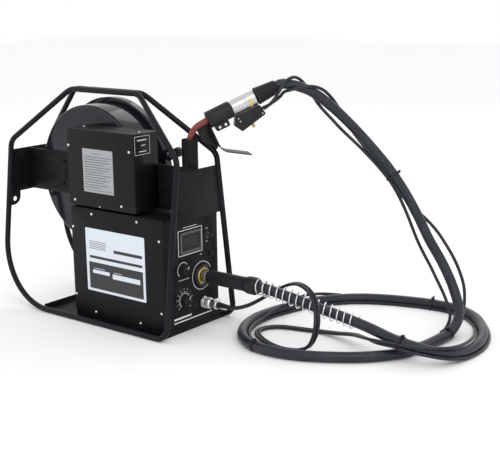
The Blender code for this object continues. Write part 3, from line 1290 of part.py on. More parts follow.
def make_gun(red, silver, dark, boot_finish, brass):
    place = gun_place()
    base = holder_centre()
    ahead = place.to_3x3() @ Vector((1, 0, 0))
    neck_end = place.translation + ahead * (COLLAR_DEPTH - GAP)
    corners = [base + Vector((0, 0, NECK_FOOT)), base + Vector((0, 0, NECK_TOP)), neck_end]
    meshed(tube("gun_neck", filleted(corners, NECK_BEND, 7), NECK_R, red, 2))
    tip_low = NECK_FOOT - 42 * MM
    tip = [(0, tip_low), (8.5 * MM, tip_low), (11 * MM, tip_low + 14 * MM), (11 * MM, NECK_FOOT - GAP)]
    turned("gun_nozzle", tip + [(0, NECK_FOOT - GAP)], brass, 16, along((0, 0, 1), base))

    barrel_line = along((1, 0, 0), (0, 0, 0))
    clamp = rod("neck_clamp", COLLAR_R, (0, COLLAR_END), dark, 16, barrel_line, 2 * MM)
    ears = rounded(rectangle((8 * MM, 40 * MM), (-30 * MM, 0)), 4 * MM)
    fuse(clamp, slab("clamp_ears", ears, "Y", (-9 * MM, 9 * MM), dark))
    cut(clamp, rod("collar_bore", COLLAR_BORE_R, (-5 * MM, COLLAR_DEPTH), dark, 16, barrel_line))
    slot = rectangle((-4 * MM, COLLAR_END + 4 * MM), (-40 * MM, -10 * MM))
    cut(clamp, slab("clamp_slot", slot, "Y", (-1.2 * MM, 1.2 * MM), dark))

    waist = BODY_R - 2 * MM
    start = COLLAR_END + GAP
    profile = [(0, start), (15 * MM, start), (BODY_R, 60 * MM), (BODY_R, 84 * MM), (waist, 88 * MM)]
    profile += [(BODY_R, 92 * MM), (BODY_R, 110 * MM), (12 * MM, BODY_END), (0, BODY_END)]
    barrel = turned("gun_body", profile, silver, 16, barrel_line)

    start = BODY_END + GAP
    ribs = [(0, start), (BOOT_R, start)]
    for k in range(BOOT_RIBS):
        low = start + 3 * MM + k * RIB_STEP
        wide = BOOT_R - 0.6 * k * MM
        groove = wide - 2 * MM
        ribs += [(wide, low + 4.5 * MM), (groove, low + 5.5 * MM), (groove, low + 8 * MM)]
        ribs += [(wide - 0.6 * MM, low + RIB_STEP)]
    ribs += [(14.5 * MM, BOOT_END), (0, BOOT_END)]
    boot = turned("gun_boot", ribs, boot_finish, 14, barrel_line)

    outline = [(58 * MM, -17 * MM), (115 * MM, -19.5 * MM), (TRIGGER_BOX_END, -41 * MM)]
    outline += [(57 * MM, -53 * MM), (47 * MM, -36 * MM)]
    outline = rounded(outline, 2.5 * MM, 2)
    switch = slab("trigger_switch_box", outline, "Y", (-13 * MM, 13 * MM), dark, edge=1.5 * MM)
    pin_line = along((0, 0, 1), (TRIGGER_X, 0, 0))
    cut(switch, rod("trigger_way", TRIGGER_R, (-62 * MM, -38 * MM), dark, 16, pin_line))
    pin = rod("trigger_pin", TRIGGER_R - GAP, (-58 * MM, -41 * MM), brass, 16, pin_line, 0.8 * MM)

    face = -SHIELD_WALL - GAP
    bends = [Vector((face, 0, 22 * MM)), Vector((face, 0, -70 * MM)), Vector((52 * MM, 0, -106 * MM))]
    line = filleted(bends, 30 * MM, 5)
    back_side = []
    for i, point in enumerate(line):
        direction = (line[min(i + 1, len(line) - 1)] - line[max(i - 1, 0)]).normalized()
        back_side.append((point.x - direction.z * SHIELD_WALL, point.z + direction.x * SHIELD_WALL))
    outline = [(point.x, point.z) for point in line] + back_side[::-1]
    shield = slab("heat_shield", outline, "Y", (-SHIELD_HALF, SHIELD_HALF), dark)
    cut(shield, rod("shield_hole", NECK_R + 1.2 * MM, (-20 * MM, 14 * MM), dark, 20, barrel_line))

    for piece in (clamp, barrel, boot, switch, pin, shield):
        piece.matrix_world = place @ piece.matrix_world
        for change in piece.modifiers:
            change.object.matrix_world = place @ change.object.matrix_world
    hold(joint_frame("trigger_slide", place @ along((0, 0, 1), (TRIGGER_X, 0, -50 * MM))), pin)


def main():
    for old in list(bpy.data.objects):
        bpy.data.objects.remove(old)
    black = material("black powder coat", (0.018, 0.019, 0.022), 0.45)
    gloss = material("black gloss paint", (0.016, 0.018, 0.022), 0.12)
    steel = material("zinc plated steel", (0.62, 0.63, 0.64), 0.32, 1.0)
    wire = material("copper coated wire", (0.55, 0.34, 0.22), 0.35, 1.0)
    plastic = material("black plastic", (0.03, 0.03, 0.032), 0.45)
    brass = material("brass", (0.72, 0.52, 0.2), 0.3, 1.0)
    rubber = material("black rubber", (0.03, 0.032, 0.034), 0.55)
    red = material("red insulated neck", (0.38, 0.05, 0.035), 0.5)
    silver = material("satin aluminium", (0.72, 0.73, 0.74), 0.35, 1.0)
    board = material("green board", (0.03, 0.16, 0.07), 0.5)

    make_hoop("near_hoop", -1, black)
    make_hoop("far_hoop", 1, black)
    make_base_pan(black)
    make_rear_cross_plate(black)
    make_front_cross_plate(black)
    make_centre_plate(black)
    make_holder_tube(black)
    make_drum(gloss, steel, plastic, wire)
    make_upper_box(black, plastic)
    make_feed_box(black)
    make_side_cover(black)
    make_front_panel(black)
    make_rolls(steel)
    make_feed_plate(silver)
    make_pressure_arms(silver, steel, plastic)
    make_motor(steel, silver)
    make_conduit(plastic)
    make_socket(brass, plastic)
    make_dial_knob("voltage_knob", VOLTAGE_KNOB, 11 * MM, plastic)
    make_dial_knob("speed_knob", SPEED_KNOB, 12 * MM, plastic)
    make_control_board(board, plastic)
    make_meter(plastic)
    make_switches(steel, plastic)
    plug_end = make_control_socket(steel)
    make_plug(steel, rubber)
    make_leads(rubber, steel, plug_end)
    make_gun(red, silver, plastic, rubber, brass)


main()
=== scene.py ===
"""The looks of a portable welding wire feeder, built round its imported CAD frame."""

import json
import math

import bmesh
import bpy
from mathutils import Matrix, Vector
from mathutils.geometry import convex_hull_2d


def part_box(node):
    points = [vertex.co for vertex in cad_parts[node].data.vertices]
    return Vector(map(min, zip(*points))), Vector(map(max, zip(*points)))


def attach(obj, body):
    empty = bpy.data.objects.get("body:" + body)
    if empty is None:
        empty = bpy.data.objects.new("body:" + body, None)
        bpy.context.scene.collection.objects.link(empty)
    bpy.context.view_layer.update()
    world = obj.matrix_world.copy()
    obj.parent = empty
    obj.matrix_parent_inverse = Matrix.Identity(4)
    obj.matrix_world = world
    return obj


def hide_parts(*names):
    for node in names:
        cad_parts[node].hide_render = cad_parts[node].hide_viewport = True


bl_info = {
    "name": "Portable Wire Feeder",
    "version": (1, 0, 0),
    "blender": (4, 5, 0),
    "location": "View3D > Sidebar > Wire Feeder",
    "description": "Builds a portable welding wire feeder with its gun and its leads on the floor",
    "category": "Add Mesh",
}

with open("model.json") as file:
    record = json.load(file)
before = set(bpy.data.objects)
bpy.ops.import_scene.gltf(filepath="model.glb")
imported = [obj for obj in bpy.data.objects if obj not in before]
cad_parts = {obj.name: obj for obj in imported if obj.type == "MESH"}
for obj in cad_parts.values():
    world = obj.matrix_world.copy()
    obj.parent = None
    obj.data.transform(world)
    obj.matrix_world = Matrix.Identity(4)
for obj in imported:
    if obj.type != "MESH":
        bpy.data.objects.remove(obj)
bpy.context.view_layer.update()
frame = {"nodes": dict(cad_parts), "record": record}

MM = 0.001

# Main sizes, in millimetres
ROD = 6.35
POST_X = 263
FOOT_HALF = 112
SHOULDER_HALF = 63
SHOULDER_Z = 384
HANDLE_Z = 508
HANDLE_FRONT = 104.5
HANDLE_REAR = -111
SHEET = 1.5
HOLDER = (236, 7.8)
DRUM_X = -56.6
DRUM_Z = 313.3
DRUM_R = 160.5
LID_R = 172
LID_FACE = 85.6
KNOB_ANGLE = math.radians(17)
KNOB_REACH = 194
HINGE = (-239.6, 66.0)
COIL_R = 142
FLANGE_R = 134
UPPER_END = 163
UPPER_TOP = 433
COVER_Y = -87.5
PANEL_FACE = 240.5
WIRE_Y = 31.7
WIRE_Z = 114.3
ROLL_R = 15.3
ROLL_HALF = 6
ROLL_X = (150, 198)
LOWER_ROLL_Z = 97.7
IDLER_Z = 130.9
KNOB_FOOT_Z = 160.3
DRIVE_TEETH = 18
ROLL_TEETH = 13
HANDLE_END = 396
PLUG_END = 284.3
LEAD_R = 11
THIN_R = 3.5
FILM = 0.22
PRINT = 0.08
LETTER = 0.05

# Edges turning by more than these are rounded on the CAD's shapes, and shaded sharp on every piece
EASED_ABOVE = math.radians(30)
SHARP_ABOVE = math.radians(38)

# Middles of the front panel's fittings: across and up
VOLTAGE = (-29.8, 139.6)
SPEED = (-27.8, 71.8)
TOGGLE = (51.3, 202.2)
BUTTON = (63.6, 156.5)
CONTROL = (34, 53)
WINDOW_X = 242.9

# Along the gun's barrel: the boot's small end, the lead straight out of it, and the last stretch of the thin leads
BOOT_END = 165.3
LEAD_STRAIGHT = 177.3
THIN_LAST = 227

# Bend spring on the torch lead, in metres
SPRING_R = 0.0157
SPRING_LENGTH = 0.228

# Route points of the torch lead, in metres, between the plug handle and the gun's boot
LEAD_ROUTE = [
    (0.4260, 0.0340, 0.1118), (0.4460, 0.0390, 0.1070), (0.4890, 0.0500, 0.0960), (0.5500, 0.0700, 0.0780),
    (0.5970, 0.0830, 0.0660), (0.6300, 0.0900, 0.0560), (0.6720, 0.0920, 0.0450), (0.7130, 0.0880, 0.0400),
    (0.7460, 0.0860, 0.0380), (0.7730, 0.0980, 0.0310), (0.7920, 0.1310, 0.0210), (0.8030, 0.1720, 0.0130),
    (0.8050, 0.2200, 0.0113), (0.7970, 0.2710, 0.0113), (0.7790, 0.3130, 0.0113), (0.7440, 0.3690, 0.0113),
    (0.6950, 0.4150, 0.0113), (0.6420, 0.4330, 0.0113), (0.5900, 0.4310, 0.0113), (0.5400, 0.4200, 0.0113),
    (0.4940, 0.4050, 0.0113), (0.4520, 0.3850, 0.0113), (0.4100, 0.3550, 0.0113), (0.3770, 0.3140, 0.0113),
    (0.3540, 0.2720, 0.0113), (0.3400, 0.2260, 0.0113), (0.3280, 0.1700, 0.0113), (0.3260, 0.1200, 0.0113),
    (0.3350, 0.0720, 0.0113), (0.3600, 0.0230, 0.0113), (0.3980, -0.0170, 0.0113), (0.4430, -0.0380, 0.0113),
    (0.4940, -0.0400, 0.0113), (0.5490, -0.0260, 0.0113), (0.6090, 0.0060, 0.0113), (0.6600, 0.0450, 0.0113),
    (0.6930, 0.0860, 0.0113), (0.7120, 0.1300, 0.0113), (0.7200, 0.1750, 0.0113), (0.7240, 0.2200, 0.0113),
    (0.7280, 0.2550, 0.0140), (0.7290, 0.2850, 0.0280), (0.7170, 0.3230, 0.0480), (0.6980, 0.3400, 0.0740),
    (0.6840, 0.3440, 0.1040), (0.6720, 0.3450, 0.1270), (0.6540, 0.3430, 0.1490), (0.6310, 0.3380, 0.1900),
    (0.6070, 0.3300, 0.2400), (0.5830, 0.3200, 0.2860), (0.5600, 0.3090, 0.3260), (0.5370, 0.2960, 0.3600),
    (0.5020, 0.2740, 0.4080), (0.4640, 0.2480, 0.4560), (0.4290, 0.2210, 0.4950), (0.4080, 0.2030, 0.5130),
    (0.3870, 0.1840, 0.5260),
]
# Route points of the first thin lead, in metres, from the control plug to the torch lead's side
THIN_ROUTE = [
    (0.3300, 0.0380, 0.0530), (0.3520, 0.0520, 0.0600), (0.3750, 0.0680, 0.0740), (0.4000, 0.0800, 0.0920),
    (0.4270, 0.0840, 0.1080), (0.4520, 0.0790, 0.1190), (0.4760, 0.0680, 0.1250), (0.4980, 0.0570, 0.1260),
    (0.5170, 0.0490, 0.1210), (0.5340, 0.0400, 0.1120), (0.5480, 0.0290, 0.0970), (0.5570, 0.0190, 0.0780),
    (0.5590, 0.0130, 0.0580), (0.5540, 0.0120, 0.0380), (0.5430, 0.0130, 0.0200), (0.5270, 0.0120, 0.0080),
    (0.5070, 0.0060, 0.0040), (0.4800, 0.0000, 0.0040), (0.4500, 0.0060, 0.0040), (0.4180, 0.0200, 0.0040),
    (0.3900, 0.0390, 0.0040), (0.3720, 0.0640, 0.0040), (0.3750, 0.0900, 0.0040), (0.3970, 0.1120, 0.0040),
    (0.4380, 0.1240, 0.0040), (0.4890, 0.1350, 0.0050), (0.5350, 0.1310, 0.0110), (0.5770, 0.1210, 0.0200),
    (0.6200, 0.0980, 0.0280), (0.6560, 0.0790, 0.0330), (0.6850, 0.0730, 0.0360),
]
# Where on the torch lead the thin leads join it, cross it and begin to turn under it, in metres
THIN_JOINS = (0.7130, 0.0880, 0.0400)
SECOND_CROSSED = (0.7440, 0.3690, 0.0113)
FIRST_CROSSES = (0.4520, 0.3850, 0.0113)
FIRST_CROSSED = (0.3260, 0.1200, 0.0113)
THIN_RISES = (0.7240, 0.2200, 0.0113)
# Where the thin leads lie round the torch lead, from its top, and how far they hang off it between ties
SIDE_ANGLE = math.radians(119.6)
UNDER_ANGLE = math.radians(155)
NESTLED = math.radians(28.8)
CROSSING_SLACK = 0.0025
HANG_BELOW = math.radians(-25)
HANG_ABOVE = math.radians(-155)
HANG_SLACK = 0.012
TIE_SPOTS = (
    THIN_JOINS, (0.5900, 0.4310, 0.0113), (0.4430, -0.0380, 0.0113), (0.7280, 0.2550, 0.0140),
    (0.5600, 0.3090, 0.3260),
)
# How the thin leads wind round the torch lead behind the gun: metres from its boot, degrees, mm off it
FIRST_WINDS = (
    (0.016, -75, 2.0), (0.026, -42, 2.5), (0.038, 0, 3.0), (0.056, 45, 1.5), (0.075, 90, 1.0), (0.100, 135, 1.5),
    (0.130, 172, 3.5), (0.185, 195, 7.0), (0.250, 202, 4.0), (0.345, 205, 0.0),
)
SECOND_WINDS = (
    (0.016, -165, 3.0), (0.032, -130, 1.0), (0.052, -88, 0.8), (0.075, -45, 1.0), (0.100, 0, 1.5), (0.130, 40, 1.2),
    (0.165, 85, 1.0), (0.210, 125, 1.0), (0.270, 148, 0.5), (0.345, 155, 0.0),
)
# Their ways past the boot into the trigger box, in the gun's frame
FIRST_ENTERS = ((165, -20, -7), (150, -18.5, -17), (134, -10.5, -26.5), (118.8, -6.5, -30))
SECOND_ENTERS = ((165, 1, -23), (150, 4.5, -27.5), (134, 6.5, -30), (118.8, 6.5, -30))

# The gun's own frame, in millimetres: its barrel runs along GUN_AHEAD
GUN_ORIGIN = Vector((261.326, 37.982, 456.3))
GUN_AHEAD = Vector((math.cos(math.radians(50)), math.sin(math.radians(50)), 0)) * math.cos(math.radians(24))
GUN_AHEAD.z = math.sin(math.radians(24))
GUN_ACROSS = Vector((-math.sin(math.radians(50)), math.cos(math.radians(50)), 0))
GUN_UP = GUN_AHEAD.cross(GUN_ACROSS)

# Floor, lamps (name, place, width, power) and the camera fitted to the photograph, in metres but for its lens
FLOOR_HALF = 9
LAMPS = (
    ("key", (2.4, -1.6, 2.6), 1.8, 22),
    ("fill", (-2.2, -2.6, 1.8), 2.4, 9),
    ("back", (-0.6, 2.8, 2.2), 2.0, 14),
)
LIT_SPOT = (0.2, 0.1, 0.25)
CAMERA_AT = (1.735776, -1.674680, 0.753936)
CAMERA_RIGHT = (0.78432, 0.62019, -0.01409)
CAMERA_DOWN = (0.13002, -0.18656, -0.97380)
CAMERA_AHEAD = (-0.60657, 0.76194, -0.22696)
CAMERA_LENS = 77.04


# ---------------------------------------------------------------- finishes


class Number:
    """A shader value whose arithmetic adds Math nodes."""

    def __init__(self, nodes, socket):
        self.nodes = nodes
        self.socket = socket

    def maths(self, operation, first, second):
        """The result of a Math node on two values."""
        made = self.nodes.node("ShaderNodeMath", {"operation": operation}, {0: first, 1: second})
        return Number(self.nodes, made.outputs[0])

    def __add__(self, other):
        return self.maths("ADD", self, other)

    def __radd__(self, other):
        return self.maths("ADD", other, self)

    def __sub__(self, other):
        return self.maths("SUBTRACT", self, other)

    def __rsub__(self, other):
        return self.maths("SUBTRACT", other, self)

    def __mul__(self, other):
        return self.maths("MULTIPLY", self, other)

    def __rmul__(self, other):
        return self.maths("MULTIPLY", other, self)

    def between(self, low, high):
        """0 below low, 1 above high, and a smooth step from one to the other."""
        sockets = {"Value": self, "From Min": low, "From Max": high}
        made = self.nodes.node("ShaderNodeMapRange", {"interpolation_type": "SMOOTHSTEP"}, sockets)
        return Number(self.nodes, made.outputs["Result"])


class Nodes:
    """A node tree that nodes are added to."""

    def __init__(self, tree):
        self.tree = tree

    def feed(self, socket, value):
        """Sets a socket to a number or a colour, or links another socket to it."""
        if isinstance(value, Number):
            value = value.socket
        if isinstance(value, bpy.types.NodeSocket):
            self.tree.links.new(value, socket)
        elif socket.type == "RGBA" and len(value) == 3:
            socket.default_value = (*value, 1.0)
        else:
            socket.default_value = value

    def node(self, kind, settings=None, sockets=None):
        """Adds a node, sets its settings, then the values or links of its sockets."""
        made = self.tree.nodes.new(kind)
        for key, value in (settings or {}).items():
            setattr(made, key, value)
        for key, value in (sockets or {}).items():
            self.feed(made.inputs[key], value)
        return made


class Finish(Nodes):
    """A material built from nodes, with the record's slot that it stands for."""

    def __init__(self, name, slot, **sockets):
        self.slot = slot
        self.material = bpy.data.materials.new(name)
        self.material.use_nodes = True
        super().__init__(self.material.node_tree)
        self.shader = self.tree.nodes["Principled BSDF"]
        self.spots = None
        self.set(**sockets)

    def set(self, **sockets):
        """Sets the shader's sockets, whose names are given in small letters."""
        for key, value in sockets.items():
            self.feed(self.shader.inputs[key.replace("_", " ").title().replace("Ior", "IOR")], value)
        return self

    def at(self, stretch=(1.0, 1.0, 1.0), move=(0.0, 0.0, 0.0)):
        """Object coordinates, in metres, moved and stretched."""
        if self.spots is None:
            self.spots = self.node("ShaderNodeTexCoord").outputs["Object"]
        mapping = {"Vector": self.spots, "Scale": stretch, "Location": move}
        return self.node("ShaderNodeMapping", None, mapping).outputs["Vector"]

    def noise(self, scale, detail=3.0, stretch=(1.0, 1.0, 1.0), move=(0.0, 0.0, 0.0)):
        """Soft patches, about 1 / scale metres wide."""
        sockets = {"Vector": self.at(stretch, move), "Scale": scale, "Detail": detail, "Roughness": 0.55}
        return Number(self, self.node("ShaderNodeTexNoise", None, sockets).outputs["Fac"])

    def cells(self, scale, randomness=1.0, feature="F1"):
        """Cells about 1 / scale metres wide."""
        sockets = {"Vector": self.at(), "Scale": scale, "Randomness": randomness}
        return Number(self, self.node("ShaderNodeTexVoronoi", {"feature": feature}, sockets).outputs["Distance"])

    def blended(self, share, first, second):
        """A colour between two, nearer the second as the share goes to 1."""
        made = self.node("ShaderNodeMix", {"data_type": "RGBA"}, {"Factor": share, 6: first, 7: second})
        return made.outputs[2]

    def bump(self, height, distance, strength=1.0):
        """Height from 0 to 1 gives relief of distance, in metres."""
        made = self.node("ShaderNodeBump", None, {"Height": height, "Distance": distance, "Strength": strength})
        return self.set(normal=made.outputs["Normal"])


def tinted(colour, share, lift=0.0):
    """A colour made lighter or darker."""
    return tuple(share * value + lift for value in colour)


def powder_coat(name, slot, colour, gloss):
    """Satin powder coat: fine orange peel, slight shade changes, dust and a few pale scuffs."""
    made = Finish(name, slot, specular_ior_level=0.12)
    shade = made.noise(9, 4)
    dust = made.noise(38, 5, move=(0.3, 0.1, 0.7)).between(0.52, 0.8)
    scuffs = made.noise(160, 2, stretch=(1, 1, 5)).between(0.69, 0.76) * made.noise(24, 2).between(0.5, 0.62)
    base = made.blended(shade, tinted(colour, 0.75), tinted(colour, 1.35, 0.002))
    base = made.blended(dust * 0.1, base, (0.06, 0.061, 0.063))
    base = made.blended(scuffs * 0.35, base, (0.1, 0.1, 0.105))
    made.set(base_color=base, roughness=gloss + shade * 0.1 + dust * 0.12)
    return made.bump(made.noise(850, 2) * 0.7 + made.noise(2600, 1) * 0.3, 0.00009, 0.55)


def gloss_paint(name, slot, colour):
    """Deep gloss paint with a faint ripple and fine hairline rubs."""
    made = Finish(name, slot, coat_weight=0.05, coat_roughness=0.04, specular_ior_level=0.28)
    rub = made.noise(60, 4, stretch=(1, 8, 1)).between(0.55, 0.8)
    base = made.blended(made.noise(7, 3), colour, tinted(colour, 1.5, 0.004))
    made.set(base_color=base, roughness=0.09 + rub * 0.12)
    return made.bump(made.noise(26, 2) * 0.8 + made.noise(700, 1) * 0.2, 0.00035, 0.25)


def metal(name, slot, colour, roughness, grain=60, stain=(0.42, 0.4, 0.36), amount=0.35, relief=0.15):
    """Bare or plated metal with fine machining grain and slight staining."""
    made = Finish(name, slot, metallic=1.0)
    stained = made.noise(46, 5).between(0.48, 0.78) * amount
    fine = made.noise(grain * 18, 2)
    base = made.blended(stained, colour, stain)
    base = made.blended(fine * 0.16, base, tinted(colour, 0.62))
    made.set(base_color=base, roughness=roughness + fine * 0.1 + stained * 0.25)
    return made.bump(fine, 0.00002, relief)


def moulded(name, slot, colour, roughness, grain=1500, depth=0.00006):
    """Moulded plastic or rubber with a fine spark-eroded grain and handling marks."""
    made = Finish(name, slot, specular_ior_level=0.25)
    worn = made.noise(34, 4).between(0.45, 0.75)
    base = made.blended(made.noise(14, 3), colour, tinted(colour, 1.35, 0.003))
    base = made.blended(worn * 0.18, base, tinted(colour, 2.2, 0.02))
    made.set(base_color=base, roughness=roughness - worn * 0.1 + made.noise(300, 2) * 0.06)
    return made.bump(made.noise(grain, 2), depth, 0.6)


def cable_sheath(name, colour):
    """Dark rubber sheath with soft bloom, floor dust and fine scratches."""
    made = Finish(name, "black_rubber", specular_ior_level=0.4)
    bloom = made.noise(22, 4).between(0.4, 0.75)
    dust = made.noise(120, 5).between(0.56, 0.78)
    base = made.blended(bloom * 0.6, colour, tinted(colour, 1.9, 0.006))
    base = made.blended(dust * 0.25, base, (0.14, 0.14, 0.145))
    made.set(base_color=base, roughness=0.36 + bloom * 0.12 + dust * 0.18)
    return made.bump(made.noise(420, 3) * 0.6 + made.noise(1900, 2) * 0.4, 0.00012, 0.45)


def print_film(name, slot, colour, roughness=0.32):
    """Printed film with slight yellowing and rub marks."""
    made = Finish(name, slot)
    rub = made.noise(55, 4).between(0.5, 0.8)
    base = made.blended(rub * 0.3, colour, tinted(colour, 0.86))
    made.set(base_color=base, roughness=roughness + rub * 0.15)
    return made.bump(made.noise(900, 2), 0.00002, 0.4)


def neck_sleeve():
    """Red-brown insulating sleeve, darkened by heat and spatter."""
    made = Finish("red sleeve", "red_sleeve")
    scorch = made.noise(70, 5).between(0.45, 0.75)
    base = made.blended(scorch * 0.65, (0.2, 0.03, 0.022), (0.09, 0.016, 0.014))
    made.set(base_color=base, roughness=0.42 + scorch * 0.2)
    return made.bump(made.noise(500, 3), 0.00012, 0.5)


def wire_winding():
    """Copper coated wire, layer on layer."""
    made = Finish("copper wire", "copper_wire", metallic=1.0)
    shade = made.noise(210, 3, stretch=(0.25, 3, 0.25))
    base = made.blended(shade, (0.56, 0.33, 0.2), (0.38, 0.21, 0.12))
    made.set(base_color=base, roughness=0.28 + shade * 0.14)
    return made.bump(made.noise(1800, 1), 0.00002, 0.4)


def circuit_board():
    """Green board with its tracks under the lacquer."""
    made = Finish("green board", "green_board")
    tracks = made.cells(420, 0.2, "DISTANCE_TO_EDGE").between(0.03, 0.06)
    base = made.blended(tracks, (0.05, 0.24, 0.1), (0.02, 0.12, 0.05))
    made.set(base_color=base, roughness=0.34 + tracks * 0.1)
    return made.bump(tracks, 0.00004, 0.5)


def dark_glass():
    """Smoked meter window with a faint smear."""
    made = Finish("meter window", "black_plastic", specular_ior_level=0.2)
    smear = made.noise(60, 4, stretch=(1, 3, 1)).between(0.5, 0.8)
    base = made.blended(smear * 0.3, (0.008, 0.008, 0.009), (0.02, 0.02, 0.022))
    return made.set(base_color=base, roughness=0.08 + smear * 0.1).bump(made.noise(500, 1), 0.00001, 0.3)


def lit_digits():
    """Unlit red segments behind the window, given a faint painted glow."""
    made = Finish("dim segments", "black_plastic", emission_strength=0.1)
    glow = made.blended(made.noise(400, 2), (0.03, 0.022, 0.022), (0.045, 0.03, 0.03))
    # The segments' colour is also their emission: a faint painted glow on unlit segments.
    return made.set(base_color=glow, emission_color=glow, roughness=0.4 + made.noise(90, 2) * 0.1)


FINISHES = {
    "powder": lambda look: powder_coat("black powder coat", "black_steel", look.paint_colour, 0.36),
    "rod paint": lambda look: powder_coat("black rod paint", "black_steel", look.rod_colour, 0.27),
    "gloss": lambda look: gloss_paint("black gloss paint", "gloss_steel", look.drum_colour),
    "zinc": lambda look: metal("zinc plating", "zinc_steel", (0.6, 0.61, 0.62), 0.3),
    "chrome": lambda look: metal("bright chrome", "zinc_steel", (0.76, 0.77, 0.78), 0.14, amount=0.2, relief=0.05),
    "dark metal": lambda look: metal("blackened steel", "zinc_steel", (0.11, 0.11, 0.115), 0.3, relief=0.05),
    "spring": lambda look: metal("spring wire", "zinc_steel", (0.8, 0.81, 0.82), 0.24, amount=0.2),
    "brass": lambda look: metal("turned brass", "brass", (0.52, 0.36, 0.13), 0.26, stain=(0.24, 0.16, 0.08)),
    "silver": lambda look: metal("satin alloy", "silver_alloy", (0.62, 0.62, 0.63), 0.3, relief=0.05),
    "cast": lambda look: metal("cast alloy", "silver_alloy", (0.55, 0.56, 0.57), 0.42, grain=25),
    "plastic": lambda look: moulded("black plastic", "black_plastic", (0.01, 0.0105, 0.013), 0.42),
    "glossy plastic": lambda look: moulded(
        "shiny black plastic", "black_plastic", (0.01, 0.01, 0.012), 0.2, 700, 0.00003
    ),
    "grey plastic": lambda look: moulded("grey plastic", "black_plastic", (0.07, 0.07, 0.074), 0.4),
    "rubber": lambda look: moulded("moulded rubber", "black_rubber", (0.009, 0.0095, 0.012), 0.46, 900, 0.0001),
    "sheath": lambda look: cable_sheath("lead sheath", look.lead_colour),
    "thin sheath": lambda look: cable_sheath("thin lead sheath", tinted(look.lead_colour, 0.8)),
    "tie": lambda look: moulded("tie nylon", "black_plastic", (0.012, 0.012, 0.013), 0.35),
    "film": lambda look: print_film("blue-white film", "black_plastic", (0.69, 0.74, 0.8)),
    "grey film": lambda look: print_film("grey film", "black_plastic", (0.34, 0.35, 0.36), 0.4),
    "yellow film": lambda look: print_film("yellow film", "black_plastic", (0.62, 0.5, 0.1)),
    "white print": lambda look: print_film("white print", "black_plastic", (0.78, 0.79, 0.8), 0.5),
    "black print": lambda look: print_film("black print", "black_plastic", (0.02, 0.021, 0.024), 0.45),
    "neck": lambda look: neck_sleeve(),
    "winding": lambda look: wire_winding(),
    "board": lambda look: circuit_board(),
    "window": lambda look: dark_glass(),
    "digits": lambda look: lit_digits(),
}
# Finishes of the CAD nodes that show as they are, by their slot in the record
NODE_FINISHES = {
    "black_steel": "powder", "gloss_steel": "gloss", "zinc_steel": "zinc", "copper_wire": "winding",
    "black_plastic": "plastic", "brass": "brass", "black_rubber": "rubber", "red_sleeve": "neck",
    "silver_alloy": "cast", "green_board": "board",
}
mixed = {}


def finish(name):
    """The finish of that name, mixed the first time it is asked for."""
    if name not in mixed:
        mixed[name] = FINISHES[name](bpy.context.scene.feeder_look)
    return mixed[name]


# ---------------------------------------------------------------- shapes, in millimetres


def filleted(corners, radius, steps=4, closed=False):
    """A path through corners with an arc at each, as large as its neighbours leave room for."""
    flat = len(corners[0]) == 2
    corners = [Vector((*corner, 0)) if flat else Vector(corner) for corner in corners]
    count = len(corners)
    radii = radius if hasattr(radius, "__len__") else [radius] * count
    points = []
    for i, corner in enumerate(corners):
        back = corners[i - 1] - corner
        ahead = corners[(i + 1) % count] - corner
        ends = not closed and i in (0, count - 1)
        if ends or radii[i] == 0 or abs(math.pi - back.angle(ahead)) < 0.02:
            points.append(corner)
            continue
        half = back.angle(ahead) / 2
        reach = min(radii[i] / math.tan(half), 0.49 * back.length, 0.49 * ahead.length)
        centre = corner + (back.normalized() + ahead.normalized()).normalized() * reach / math.cos(half)
        first = corner + back.normalized() * reach - centre
        axis = first.cross(corner + ahead.normalized() * reach - centre).normalized()
        sweep = math.pi - 2 * half
        points += [centre + Matrix.Rotation(sweep * k / steps, 3, axis) @ first for k in range(steps + 1)]
    return [(point.x, point.y) for point in points] if flat else points


def rectangle(a0, a1, b0, b1, radius=0.0, steps=4):
    """A rectangle's outline, with rounded corners if a radius is given."""
    corners = [(a0, b0), (a1, b0), (a1, b1), (a0, b1)]
    return filleted(corners, radius, steps, closed=True) if radius else corners


def circle(a, b, radius, steps=48, turn=0.0):
    """A circle's outline, or a hexagon's with six steps; turn is a share of one step."""
    angles = [math.tau * (i + turn) / steps for i in range(steps)]
    return [(a + radius * math.cos(angle), b + radius * math.sin(angle)) for angle in angles]


def fluted(outer, inner, lobes, steps=5):
    """A round grip's outline with rounded lobes."""
    points = []
    for i in range(lobes * 2 * steps):
        share = math.cos(math.tau * i / (2 * steps))
        radius = (outer + inner) / 2 + (outer - inner) / 2 * math.copysign(abs(share) ** 0.5, share)
        angle = math.tau * i / (lobes * 2 * steps)
        points.append((radius * math.cos(angle), radius * math.sin(angle)))
    return points


TURNS = {
    "X": Matrix(((0, 0, 1), (1, 0, 0), (0, 1, 0))).to_4x4(),
    "Y": Matrix(((1, 0, 0), (0, 0, 1), (0, 1, 0))).to_4x4(),
    "Z": Matrix.Identity(4),
}


def along(axis, origin):
    """The place that turns Z to the axis, at the origin."""
    turn = Vector((0, 0, 1)).rotation_difference(Vector(axis)).to_matrix().to_4x4()
    return Matrix.Translation(Vector(origin)) @ turn


def lengthwise(y, z):
    """A place whose Z runs along the feeder, towards the torch socket."""
    return along((1, 0, 0), (0, y, z))


def crosswise(x=DRUM_X, z=DRUM_Z):
    """A place whose Z runs across the feeder, towards the drum's lid."""
    return along((0, 1, 0), (x, 0, z))


def upright(x, y, z=0):
    """A place whose Z points up."""
    return along((0, 0, 1), (x, y, z))


def panel_spot(y, z, x=PANEL_FACE):
    """A place on the front panel whose Z points out of it and X to the viewer's right."""
    place = TURNS["X"].copy()
    place.translation = (x, y, z)
    return place


def side_spot(x, z):
    """A place on the near side whose Z points out of it and X to the viewer's right."""
    place = Matrix(((1, 0, 0), (0, 0, -1), (0, 1, 0))).to_4x4()
    place.translation = (x, COVER_Y, z)
    return place


